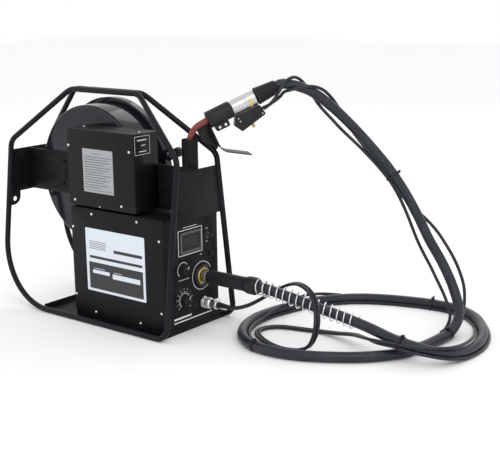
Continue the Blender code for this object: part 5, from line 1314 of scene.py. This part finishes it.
class FEEDER_OT_spool(bpy.types.Operator):
    """Axle, spool hub, coil of wire and its retainer"""

    bl_idname = "feeder.spool"
    bl_label = "Spool"

    def execute(self, context):
        axis = crosswise()
        axle = [(0, -7.9), (18, -7.9), (18, -5.9), (8, -5.9), (8, 82.8), (0, 82.8)]
        shown("spool_bolt", lathed(axle, axis, 0.8, 3, 64), "zinc", "spool_axle")

        hub = [(8.1, -5.6), (16, -5.6), (16, -2), (FLANGE_R, -2), (FLANGE_R, 0), (100.7, 0), (100.7, 62)]
        hub += [(98.2, 62), (98.2, 0), (16, 0), (16, 73), (8.1, 73)]
        parts = [lathed(hub, axis, 0.5, 2, 96, True)]
        for k in range(6):
            rib = slab(rectangle(15.5, 98.6, -1.2, 1.2), "Z", -0.5, 40, 0.4)
            rib.transform(axis @ Matrix.Rotation(math.tau * k / 6, 4, "Z"))
            parts.append(rib)
        shown("hub_moulding", joined(*parts), "plastic", "spool_hub", "spool")

        turns = 58
        pitch = 69.4 / turns
        outer = COIL_R - 0.35
        winding = [(101, 0.3)]
        for k in range(turns):
            low = 0.3 + pitch * k
            winding += [(outer - 0.35, low + 0.02), (outer, low + 0.25 * pitch)]
            winding += [(outer + 0.12, low + 0.5 * pitch), (outer, low + 0.75 * pitch)]
        winding += [(141.3, 69.7), (101, 69.7)]
        shown("wire_winding", spun(winding, axis, 96, True), "winding", "wire_coil", "spool")

        disc = [(8.1, 73.3), (22, 73.3), (34, 70), (FLANGE_R, 70), (FLANGE_R, 72), (35, 72), (23, 75.3)]
        disc += [(16, 75.3), (16, 80.8), (8.1, 80.8)]
        windows = []
        for k in range(6):
            window = slab(filleted([(46, -17), (120, -44), (126, 0), (120, 44), (46, 17)], 9, 5, True), "Z", 66, 80)
            window.transform(axis @ Matrix.Rotation(math.tau * (k + 0.5) / 6, 4, "Z"))
            windows.append(window)
        disc = carved(lathed(disc, axis, 0.5, 3, 96, True), *windows)
        shown("retainer_disc", disc, "plastic", "spool_retainer", "spool")
        return {"FINISHED"}


# ---------------------------------------------------------------- boxes


class FEEDER_OT_boxes(bpy.types.Operator):
    """Upper box, feed box, side cover and front panel with their screws"""

    bl_idname = "feeder.boxes"
    bl_label = "Boxes"

    def execute(self, context):
        cover = bmesh.new()
        outline = rectangle(-43, UPPER_END, 262, UPPER_TOP, 3, 5)
        face = cover.faces.new([cover.verts.new(TURNS["Y"] @ Vector((a, b, COVER_Y))) for a, b in outline])
        moved = bmesh.ops.extrude_face_region(cover, geom=[face], use_keep_orig=True)["geom"]
        back = next(item for item in moved if isinstance(item, bmesh.types.BMFace))
        verts = [item for item in moved if isinstance(item, bmesh.types.BMVert)]
        bmesh.ops.translate(cover, verts=verts, vec=(0, 72.4, 0))
        bmesh.ops.delete(cover, geom=[back], context="FACES_ONLY")
        bevelled(cover, face.edges, 2.2, 4)
        bmesh.ops.recalc_face_normals(cover, faces=cover.faces)
        cover = shown("upper_cover_sheet", cover, "powder", "upper_box_cover")
        wall = cover.modifiers.new("sheet", "SOLIDIFY")
        wall.thickness = SHEET * MM
        wall.offset = -1
        shown("upper_back_sheet", copied("upper_box_back", 0.3), "powder", "upper_box_back")

        shown("feed_box_sheet", copied("feed_box", 0.3), "powder", "feed_box")
        side = slab(rectangle(-41, 238.7, 15, 257, 2, 4), "Y", COVER_Y, COVER_Y + SHEET, 0.5, 3)
        shown("side_cover_sheet", side, "powder", "side_cover")
        shown("front_panel_sheet", copied("front_panel", 0.35, 3), "powder", "front_panel")

        size = context.scene.feeder_sizes.screw_radius / MM
        spots = [(-38, 395), (149, 395), (-25, 273.6), (120, 274.5), (25.5, 246), (163.5, 246)]
        spots += [(-36, 210.5), (227, 212), (-36, 53), (228, 53.3), (25.5, 20), (164.4, 20)]
        heads = [screw(side_spot(x, z), size) for x, z in spots]
        heads.append(screw(side_spot(53, 265.8), 1.8))
        heads += [screw(upright(x, -50, UPPER_TOP), 2.6) for x in (-25, 145)]
        shown("cover_screws", joined(*heads), "chrome")
        spots = ((-82, 252), (-82, 21), (81, 252), (81, 21), (80.8, 154.9))
        shown("panel_screws", joined(*[screw(panel_spot(y, z), 2.2) for y, z in spots]), "rod paint")
        return {"FINISHED"}


class FEEDER_OT_labels(bpy.types.Operator):
    """Bare label films with plain fields and ruled lines"""

    bl_idname = "feeder.labels"
    bl_label = "Labels"

    def execute(self, context):
        cover = side_spot(0, 0)
        label = [(3, 184, 70, 214)]
        shown("side_label", printed(label, cover, FILM, 2.5), "film")
        shown("side_label_panel", printed([(11, 177, 76, 137)], cover, PRINT, 1.0, FILM), "black print")
        fields = [
            printed([(22, 75, 112, 120), (84, 168, 107, 118)], cover, PRINT, 0.6, FILM + PRINT),
            printed([(26, 60, 123, 124), (88, 112, 121, 122)], cover, PRINT, 0.0, FILM + PRINT),
        ]
        shown("side_label_fields", joined(*fields), "film")
        rules = [(14, 176, 146, 152), (90, 176, 166, 173)]
        rules += [(14, 66, 168 + 4 * k, 169.2 + 4 * k) for k in range(5)]
        shown("side_label_rules", printed(rules, cover, PRINT, 0.0, FILM), "black print")

        shown("upper_label", printed([(6, 99, 296, 392)], cover, 0.25, 1.5), "grey film")
        lengths = (84, 70, 78, 62, 80, 74, 58, 82, 66, 76, 60, 72, 50)
        rules = [(11, 11 + length, 374 - 5.6 * k, 375.2 - 5.6 * k) for k, length in enumerate(lengths)]
        rules += [(38, 66, 382, 382.8), (11, 94, 301, 301.8)]
        shown("upper_label_rules", printed(rules, cover, 0.06, 0.0, 0.25), "black print")

        lines = [(-84, -38, 388, 388.8), (-84, -38, 427, 427.8), (-84, -83.2, 388, 427.8), (-38.8, -38, 388, 427.8)]
        lines += [(-76, -48, 418, 420), (-64, -52, 407, 408.6), (-72, -50, 394, 395.6)]
        shown("upper_end_print", printed(lines, panel_spot(0, 0, UPPER_END), 0.06), "white print")
        return {"FINISHED"}


# ---------------------------------------------------------------- front panel fittings


def ring_mark(y, z, radius, start, end, width=0.8, steps=48):
    """A printed arc on the panel, in degrees from the viewer's right."""
    angles = [math.radians(start + (end - start) * i / steps) for i in range(steps + 1)]
    outer = [(radius * math.cos(a), radius * math.sin(a)) for a in angles]
    inner = [((radius - width) * math.cos(a), (radius - width) * math.sin(a)) for a in reversed(angles)]
    return slab(outer + inner, "Z", 0, PRINT, 0.0, 1, panel_spot(y, z))


def tick(angle, start, end, half):
    """A printed line out from the speed dial's middle."""
    place = panel_spot(*SPEED) @ Matrix.Rotation(angle, 4, "Z")
    return slab(rectangle(start, end, -half, half), "Z", 0, PRINT, 0.0, 1, place)


class FEEDER_OT_socket(bpy.types.Operator):
    """Torch socket with its printed ring"""

    bl_idname = "feeder.socket"
    bl_label = "Torch socket"

    def execute(self, context):
        line = lengthwise(WIRE_Y, WIRE_Z)
        brass = [(1.3, 216), (12, 216), (12, 233), (18.5, 233), (18.5, 245.5), (16.4, 247.2), (15.2, 247.2)]
        brass += [(14.6, 244), (6, 244), (6, 247.4), (1.3, 247.4)]
        holes = []
        for a in (0.6, 2.6):
            spot = Matrix.Translation((10.4 * math.cos(a), 10.4 * math.sin(a), 0))
            holes.append(bar(1.7, 240, 250, line @ spot, 0.2, 20))
        shown("socket_body", carved(lathed(brass, line, 0.4, 2, 96, True), *holes), "brass", "euro_socket")
        ring = [(19, 240.8), (25, 240.8), (25, 243), (23, 244.5), (19, 244.5)]
        shown("socket_ring", lathed(ring, line, 0.7, 4, 96, True), "glossy plastic", "socket_flange")
        shown("socket_print", ring_mark(WIRE_Y, WIRE_Z, 32, 25, 310, 1.3, 72), "white print")
        return {"FINISHED"}


class FEEDER_OT_dials(bpy.types.Operator):
    """Two pointer knobs and their printed scales"""

    bl_idname = "feeder.dials"
    bl_label = "Dials"

    def execute(self, context):
        for name, spot, radius in (("voltage", VOLTAGE, 11), ("speed", SPEED, 12)):
            place = panel_spot(*spot)
            body = f"{name}_dial"
            grip = slab(fluted(radius, radius - 0.9, 18, 2), "Z", 3.4, 12.4, 0.8, 2, place)
            skirt = lathed([(0, 0.6), (radius + 1.2, 0.6), (radius + 0.8, 3.6), (0, 4)], place, 0.6, 3, 72)
            cap = lathed([(0, 13), (radius - 3.4, 13), (radius - 2.6, 12), (0, 12)], place, 0.3, 2, 56)
            spindle = bar(3, -13, 4, place, 0.4, 32)
            shown(f"{name}_grip", joined(grip, skirt, spindle), "plastic", f"{name}_knob", body)
            shown(f"{name}_cap", cap, "glossy plastic", None, body)
            place = place @ Matrix.Rotation(math.radians(-35), 4, "Z")
            pointer = slab(rectangle(-0.6, 0.6, 3, radius - 1.2), "Z", 12.9, 13.2, 0.0, 1, place)
            shown(f"{name}_pointer", pointer, "white print", None, body)
        y, z = SPEED
        marks = [ring_mark(*VOLTAGE, 17.4, 35, 225, 1.4)]
        steps = [(-44 + 6 * k, -41.5 + 6 * k, 116.6, 119) for k in range(6)]
        marks.append(printed(steps, panel_spot(0, 0), PRINT))
        for k in range(11):
            angle = math.radians(225 - 27 * k)
            marks.append(tick(angle, 17, 20.5, 0.5))
            marks.append(lettered(str(k), 5.4, panel_spot(y + 24.6 * math.cos(angle), z + 24.6 * math.sin(angle))))
        marks += [tick(math.radians(225 - 13.5 * k), 17, 19, 0.3) for k in range(1, 21, 2)]
        marks.append(ring_mark(y, z, 15.6, 25, 235, 1.0))
        shown("dial_print", joined(*marks), "white print")
        return {"FINISHED"}


class FEEDER_OT_meter(bpy.types.Operator):
    """Digital meter with its bezel, window and printed border"""

    bl_idname = "feeder.meter"
    bl_label = "Meter"

    def execute(self, context):
        back = slab(rectangle(-33.6, 25.6, 179.4, 217.6), "X", 221, 241.5)
        rim = slab(rectangle(-38, 30, 175, 222, 2, 4), "X", 240.8, 244, 0.9, 3)
        hollow = slab(rectangle(-33.5, 25.5, 180.5, 216.5, 1, 3), "X", 242.2, 248)
        shown("meter_bezel", joined(carved(rim, hollow), back), "grey plastic", "volt_meter")
        window = slab(rectangle(-33.1, 25.1, 180.9, 216.1, 0.6, 2), "X", 242.2, WINDOW_X, 0.2, 1)
        shown("meter_window", window, "window")
        segments = (
            (-3.4, 3.4, 7.4, 8.8), (-3.4, 3.4, -0.7, 0.7), (-3.4, 3.4, -8.8, -7.4), (-4.9, -3.6, 0.9, 7.8),
            (3.6, 4.9, 0.9, 7.8), (-4.9, -3.6, -7.8, -0.9), (3.6, 4.9, -7.8, -0.9),
        )
        lit = []
        for y in (-19, -4, 11):
            lit += [(y + a0, y + a1, 198.5 + b0, 198.5 + b1) for a0, a1, b0, b1 in segments]
        shown("meter_segments", printed(lit, panel_spot(0, 0, WINDOW_X), 0.05), "digits")
        lines = [(-43, 35, 170.2, 171.8), (-43, 35, 225.2, 226.8), (-43, -41.4, 171, 226), (33.4, 35, 171, 226)]
        lines.append((-26, 18, 231, 232.2))
        shown("meter_print", printed(lines, panel_spot(0, 0), PRINT), "white print")
        return {"FINISHED"}


class FEEDER_OT_switches(bpy.types.Operator):
    """Toggle switch, push button and their printed marks"""

    bl_idname = "feeder.switches"
    bl_label = "Switches"

    def execute(self, context):
        place = panel_spot(*TOGGLE)
        bush = [(2.6, -15.5), (8, -15.5), (8, -2.5), (4.7, -2.5), (4.7, 4), (3.6, 4), (3.6, -6.5), (2.6, -6.5)]
        nut = carved(slab(circle(0, 0, 7.4, 6), "Z", 0.4, 3, 0.5, 2, place), bar(4.6, -1, 5, place, 0.1, 32))
        washer = lathed([(4.75, 0.05), (8.6, 0.05), (8.6, 0.6), (4.75, 0.6)], place, 0.2, 2, 48, True)
        bush = lathed(bush, place, 0.3, 2, 48, True)
        shown("toggle_bush", joined(bush, nut, washer), "dark metal", "toggle_switch_body")
        lever = [(0, -3), (2.4, -2.2), (3.2, 0), (2.4, 2.2), (1.3, 3.2), (1.5, 9), (2.5, 15), (1.9, 17.6), (0, 18)]
        shown("toggle_bat", lathed(lever, place, 2, 4, 40), "dark metal", "toggle_lever", "toggle")

        place = panel_spot(*BUTTON)
        ring = [(4.2, -16.5), (7.5, -16.5), (7.5, -2.5), (5.2, -2.5), (5.2, 0.3), (7.2, 0.3), (6.8, 2), (4.2, 2)]
        shown("button_ring", lathed(ring, place, 0.3, 2, 56, True), "plastic", "button_switch_body")
        push = lathed([(0, -9.5), (3.9, -9.5), (3.9, 5), (0, 5.2)], place, 0.9, 4, 48)
        shown("button_cap", push, "glossy plastic", "inch_button", "button")

        marks = [lettered(text, 4.2, panel_spot(TOGGLE[0], z)) for text, z in (("ON", 216.5), ("OFF", 187.5))]
        lines = [(27.5, 32.5, 161.8, 163.4), (-62, 62, 24.5, 27), (-62, -6, 32, 36)]
        marks.append(printed(lines, panel_spot(0, 0), PRINT))
        shown("switch_print", joined(*marks), "white print")
        return {"FINISHED"}


class FEEDER_OT_connector(bpy.types.Operator):
    """Hexagonal control socket"""

    bl_idname = "feeder.connector"
    bl_label = "Control socket"

    def execute(self, context):
        place = panel_spot(*CONTROL)
        parts = [
            slab(circle(0, 0, 14.5, 6, 0.5), "Z", 0.3, 5.6, 1.0, 3, place),
            lathed([(0, 5), (11.6, 5), (11.6, 6.4), (0, 6.4)], place, 0.4, 3, 64),
            bar(9.2, -13.5, 12.5, place, 0.5, 56),
        ]
        for h in (6.8, 7.8, 8.8, 9.8, 10.8):
            parts.append(lathed([(9.1, h), (9.6, h + 0.4), (9.1, h + 0.8)], place, 0.15, 1, 56, True))
        parts.append(slab(circle(0, 0, 13, 6), "Z", -6.5, -1.8, 0.6, 2, place))
        shown("control_socket_hex", joined(*parts), "spring", "control_socket")
        return {"FINISHED"}


# ---------------------------------------------------------------- wire drive


def gear(x, z, teeth, phase):
    """A spur gear with chamfered, rounded teeth. Its module is 2, so its pitch radius is its teeth."""
    pitch = teeth
    step = math.tau / teeth
    flank = ((pitch - 2.3, 0.30), (pitch - 0.6, 0.235), (pitch + 0.8, 0.17), (pitch + 1.7, 0.11))
    outline = []
    for tooth in range(teeth):
        middle = phase + tooth * step
        for radius, share in [(radius, -share) for radius, share in flank] + list(reversed(flank)):
            angle = middle + share * step
            outline.append((x + radius * math.cos(angle), z + radius * math.sin(angle)))
    return slab(outline, "Y", 16.4, 22.4, 0.3, 1)


def roll_phase(centre, follower, drive_phase):
    """The angle of a lower roll's first tooth, with its teeth in the drive gear's gaps."""
    toward = math.atan2(follower[1] - centre[1], follower[0] - centre[0])
    step = math.tau / DRIVE_TEETH
    off = (drive_phase - toward + step / 2) % step - step / 2
    return toward + math.pi - off * DRIVE_TEETH / ROLL_TEETH + math.pi / ROLL_TEETH


class FEEDER_OT_drive(bpy.types.Operator):
    """Feed plate, drive gear, lower rolls and their cap screws"""

    bl_idname = "feeder.drive"
    bl_label = "Drive rolls"

    def execute(self, context):
        shown("feed_plate_cast", copied("feed_plate", 0.5), "cast", "feed_plate")
        centre = (174, 78.079)
        phase = math.radians(10)
        axis = crosswise(*centre)
        parts = [gear(*centre, DRIVE_TEETH, phase), bar(5, -30, 27.4, axis, 0.6, 40)]
        parts.append(slab(circle(0, 0, 9, 6), "Z", 22, 25.4, 0.5, 2, axis))
        shown("drive_gear_cut", joined(*parts), "zinc", "drive_gear", "drive")

        low, high = WIRE_Y - ROLL_HALF, WIRE_Y + ROLL_HALF
        groove = [(ROLL_R, 28.2), (ROLL_R - 0.8, 29), (ROLL_R, 29.8), (ROLL_R, 30.9), (ROLL_R - 0.8, WIRE_Y)]
        tread = [(0, 21.4), (10, 21.4), (10, low), (ROLL_R, low), *groove, (ROLL_R, 32.5), (ROLL_R, high)]
        tread += [(9, high), (8.4, high - 1.2), (5, high - 1.2), (0, high - 1.2)]
        for name, x in zip(("rear", "front"), ROLL_X):
            spot = (x, LOWER_ROLL_Z)
            axis = crosswise(*spot)
            key = slab(circle(0, 0, 2.3, 6), "Z", high - 0.2, high + 4, 0, 1, axis)
            parts = [
                gear(*spot, ROLL_TEETH, roll_phase(centre, spot, phase)),
                lathed(tread, axis, 0.35, 2, 80),
                bar(5, 7, 17.4, axis, 0.3, 40),
                carved(bar(4.4, high - 2, high + 1.6, axis, 0.5, 32), key),
            ]
            shown(f"lower_roll_{name}_ground", joined(*parts), "zinc", f"lower_roll_{name}", f"roll_{name}")
        return {"FINISHED"}


class FEEDER_OT_pressure(bpy.types.Operator):
    """Pressure arms with their idler rolls and tension knobs"""

    bl_idname = "feeder.pressure"
    bl_label = "Pressure arms"

    def execute(self, context):
        low, high = WIRE_Y - ROLL_HALF, WIRE_Y + ROLL_HALF
        ring = [(4.1, low), (9, low), (9, low + 0.7), (11.5, low + 0.7), (11.5, low), (ROLL_R, low), (ROLL_R, high)]
        ring += [(11.5, high), (11.5, high - 0.7), (9, high - 0.7), (9, high), (4.1, high)]
        foot = [(3.1, 0), (5.5, 0), (5.5, 3), (6.6, 4.8), (3.1, 4.8)]
        cap = [(3.1, 17), (6.8, 17), (6.2, 20), (3.1, 20)]
        for name, x, inward in zip(("rear", "front"), ROLL_X, (1, -1)):
            arm = f"pressure_arm_{name}"
            shown(f"{arm}_cast", copied(arm, 0.7), "cast", arm, f"arm_{name}")
            idler = lathed(ring, crosswise(x, IDLER_Z), 0.35, 2, 80, True)
            shown(f"idler_bearing_{name}", idler, "chrome", f"idler_roll_{name}", f"idler_{name}")
            place = upright(x + inward * 8, 45, KNOB_FOOT_Z)
            grip = slab(fluted(7.5, 6.9, 16, 2), "Z", 4.5, 17.5, 0.6, 2, place)
            parts = [
                carved(grip, bar(3.1, -2, 30, place, 0.1, 24)),
                lathed(foot, place, 0.4, 2, 48, True),
                lathed(cap, place, 0.7, 3, 48, True),
            ]
            body = f"tension_{name}"
            shown(f"tension_knob_{name}", joined(*parts), "plastic", f"pressure_knob_{name}", body)
            rings = []
            for h in (6, 9, 12, 15):
                line = [(6.9, h), (7.62, h + 0.1), (7.62, h + 0.5), (6.9, h + 0.6)]
                rings.append(lathed(line, place, 0.05, 1, 48, True))
            shown(f"tension_scale_{name}", joined(*rings), "white print", None, body)
        return {"FINISHED"}


class FEEDER_OT_motor(bpy.types.Operator):
    """Gearbox, feed motor and wire conduit"""

    bl_idname = "feeder.motor"
    bl_label = "Motor and conduit"

    def execute(self, context):
        shown("gearbox_cast", copied("gearbox", 0.6), "cast", "gearbox")
        low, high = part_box("feed_motor")
        place = lengthwise((low.y + high.y) / 2 / MM, (low.z + high.z) / 2 / MM)
        a, b = low.x / MM, high.x / MM
        can = [(0, a), (12, a), (12, a + 6), (26, a + 6), (29, a + 9), (29, a + 24), (28.2, a + 24.5)]
        can += [(28.2, a + 26), (29, a + 26.5), (29, b - 3), (26, b), (0, b)]
        shown("motor_can", lathed(can, place, 0.8, 3, 80), "zinc", "feed_motor")
        route = [(98, 262), (94, 230), (84, 190), (80, 160), (84, 135), (97, 119), (115.5, 114.3)]
        coarse = smooth_curve([(x, z, 0) for x, z in route], 11)
        path = smooth_curve([Vector((point.x, WIRE_Y, point.y)) * MM for point in coarse], 0.0011)
        widths = [1.0 if k % 4 < 2 else 0.86 for k in range(len(path))]
        swept("conduit_hose", path, 4, "plastic", "wire_conduit", sides=4, widths=widths)
        return {"FINISHED"}


# ---------------------------------------------------------------- gun


def clamp_parts(barrel):
    """The clamp's hollow collar with the two lugs under it."""
    collar = [(14, 0), (18.5, 0), (18.5, 54), (16.5, 56), (0, 56), (0, 25), (14, 25)]
    parts = [lathed(collar, barrel, [1, 1.2, 1.4, 1.4, 0, 0, 1.5], 3, 80)]
    for low, high in ((-8.6, -1.4), (1.4, 8.6)):
        parts.append(slab(rectangle(-30, -13, 8, 40, 4, 5), "X", low, high, 0.8, 2, barrel))
    return parts


def boot_profile():
    """The boot's ribs, which narrow towards the lead."""
    ribs = [(0, 115), (17.5, 115), (19, 116.5), (19, 118)]
    for k in range(9):
        low = 118 + 5 * k
        wide = 19 - 0.45 * k
        ribs += [(wide, low + 2.6), (wide - 1.5, low + 3.2), (wide - 1.5, low + 4.4), (wide - 0.4, low + 5)]
    return ribs + [(14.5, 163.4), (13.4, 165), (0, 165)]


def shield_sheet(place):
    """The heat shield: a bent sheet with a wing on its far side."""
    line = filleted([(-2.8, -15), (-2.8, -70), (52, -106)], 30, 14)
    back = []
    for i, point in enumerate(line):
        run = Vector(line[min(i + 1, len(line) - 1)]) - Vector(line[max(i - 1, 0)])
        run.normalize()
        back.append((point[0] - run.y * 2.5, point[1] + run.x * 2.5))
    blade = slab([(b, a) for a, b in list(line) + back[::-1]], "Z", -22, 22, 0.5, 2)
    wing = [(5, 14), (2, -21), (-6, -28), (-38, -28), (-70, -8), (-66, -1), (-18, -1), (-12, 14)]
    shield = joined(blade, slab(filleted(wing, 3, 4, closed=True), "Z", 19.6, 22, 0.4, 2))
    shield.transform(place)
    return shield


class FEEDER_OT_gun(bpy.types.Operator):
    """Neck, collar, silver body, boot, trigger box and heat shield"""

    bl_idname = "feeder.gun"
    bl_label = "Gun"

    def execute(self, context):
        base = Vector((*HOLDER, 0))
        end = GUN_ORIGIN + GUN_AHEAD * 24.7
        bend = filleted([base + Vector((0, 0, 380)), base + Vector((0, 0, 438.8)), end], 45, 20)
        swept("neck_sleeve", [point * MM for point in bend], 6.5, "neck", "gun_neck", sides=8)
        tip = [(0, 338), (6.2, 338), (8.5, 339), (11, 352), (11, 379.7), (0, 379.7)]
        shown("nozzle_cup", lathed(tip, upright(*HOLDER), 1, 3, 56), "brass", "gun_nozzle")

        barrel = gun_spot()
        shown("collar_clamp", joined(*clamp_parts(barrel)), "plastic", "neck_clamp")
        bolts = []
        for ahead in (17, 31):
            for way in (-1, 1):
                place = gun_spot(ahead, way * 8.7, -23) @ Matrix.Rotation(way * math.pi / 2, 4, "Y")
                bolts.append(bar(3.2, -0.4, 2.2, place, 0.6, 32))
        shown("clamp_screws", joined(*bolts), "chrome")
        bolts = []
        for ahead in (44, 36):
            turn = Matrix.Rotation(math.pi / 2, 4, "X")
            place = barrel @ Matrix.Rotation(0.9, 4, "Z") @ Matrix.Translation((0, -18.2, ahead)) @ turn
            bolts.append(bar(2.4, -0.5, 1.6, place, 0.5, 28))
        shown("collar_screws", joined(*bolts), "chrome")

        body = [(0, 56.3), (15, 56.3), (16.5, 58.5), (16.5, 86), (16.1, 86.8), (16.1, 88), (16.5, 88.8)]
        body += [(16.5, 112), (12, 114.7), (0, 114.7)]
        shown("silver_body", lathed(body, barrel, 1, 3, 88), "silver", "gun_body")
        arc = [math.radians(160 + 4 * k) for k in range(20)]
        band = [(16.85 * math.cos(a), 16.85 * math.sin(a)) for a in arc]
        band += [(16.4 * math.cos(a), 16.4 * math.sin(a)) for a in reversed(arc)]
        shown("body_strip", slab(band, "Z", 95.5, 100.5, 0.0, 1, barrel), "yellow film")
        shown("gun_boot_ribbed", lathed(boot_profile(), barrel, 0.7, 3, 72), "rubber", "gun_boot")

        shown("trigger_box_shell", copied("trigger_switch_box", 0.5), "plastic", "trigger_switch_box")
        heads = []
        for way in (-1, 1):
            for ahead, up in ((60, -24), (61.5, -31), (112, -36)):
                place = gun_spot(ahead, way * 13, up) @ Matrix.Rotation(way * math.pi / 2, 4, "Y")
                heads.append(screw(place, 1.9))
        shown("trigger_box_screws", joined(*heads), "zinc")
        bracket = slab(rectangle(-18.4, -15.4, 60, 112, 0.8, 2), "X", -10, 10, 0.4, 2, barrel)
        shown("box_bracket", bracket, "grey plastic")
        place = gun_frame(GUN_AHEAD, GUN_ACROSS, GUN_UP, 85)
        shown("trigger_plunger", bar(3.3, -58, -41, place, 1.2, 32), "brass", "trigger_pin", "trigger")

        sheet = shield_sheet(gun_frame(GUN_UP, GUN_AHEAD, GUN_ACROSS))
        shown("heat_shield_sheet", sheet, "plastic", "heat_shield")
        place = gun_frame(GUN_UP, GUN_AHEAD, GUN_ACROSS, -21, 19.6, -8) @ Matrix.Rotation(math.pi, 4, "X")
        shown("shield_rivet", screw(place, 2.2), "chrome")
        return {"FINISHED"}


# ---------------------------------------------------------------- carried-over nodes, panel and run


class FEEDER_OT_inner(bpy.types.Operator):
    """Finishes for the CAD nodes that show as they are"""

    bl_idname = "feeder.inner"
    bl_label = "Inner pieces"

    def execute(self, context):
        slots = {item["node"]: item["material_slot"] for item in frame["record"]["subparts"]}
        for name, node in frame["nodes"].items():
            if not node.hide_render:
                node.data.materials.clear()
                node.data.materials.append(finish(NODE_FINISHES[slots[name]]).material)
        return {"FINISHED"}


class FEEDER_PT_panel(bpy.types.Panel):
    """Lists the feeder's pieces"""

    bl_idname = "FEEDER_PT_panel"
    bl_label = "Wire Feeder"
    bl_space_type = "VIEW_3D"
    bl_region_type = "UI"
    bl_category = "Wire Feeder"

    def draw(self, context):
        for group in (context.scene.feeder_look, context.scene.feeder_sizes):
            for name in group.__annotations__:
                self.layout.prop(group, name)
        for operator in OPERATORS:
            self.layout.operator(operator.bl_idname)


OPERATORS = (
    FEEDER_OT_stage, FEEDER_OT_leads, FEEDER_OT_hoops, FEEDER_OT_plates, FEEDER_OT_drum, FEEDER_OT_spool,
    FEEDER_OT_boxes, FEEDER_OT_labels, FEEDER_OT_socket, FEEDER_OT_dials, FEEDER_OT_meter, FEEDER_OT_switches,
    FEEDER_OT_connector, FEEDER_OT_drive, FEEDER_OT_pressure, FEEDER_OT_motor, FEEDER_OT_gun, FEEDER_OT_inner,
)
CLASSES = (FeederLook, FeederSizes, *OPERATORS, FEEDER_PT_panel)


def register():
    """Adds the classes and the two groups of settings."""
    for item in CLASSES:
        bpy.utils.register_class(item)
    bpy.types.Scene.feeder_look = bpy.props.PointerProperty(type=FeederLook)
    bpy.types.Scene.feeder_sizes = bpy.props.PointerProperty(type=FeederSizes)


def unregister():
    """Takes the settings and the classes away again."""
    del bpy.types.Scene.feeder_sizes
    del bpy.types.Scene.feeder_look
    for item in reversed(CLASSES):
        bpy.utils.unregister_class(item)


def main():
    """Builds every piece and the stage."""
    register()
    for operator in OPERATORS:
        group, name = operator.bl_idname.split(".")
        getattr(getattr(bpy.ops, group), name)()


if __name__ == "__main__":
    main()
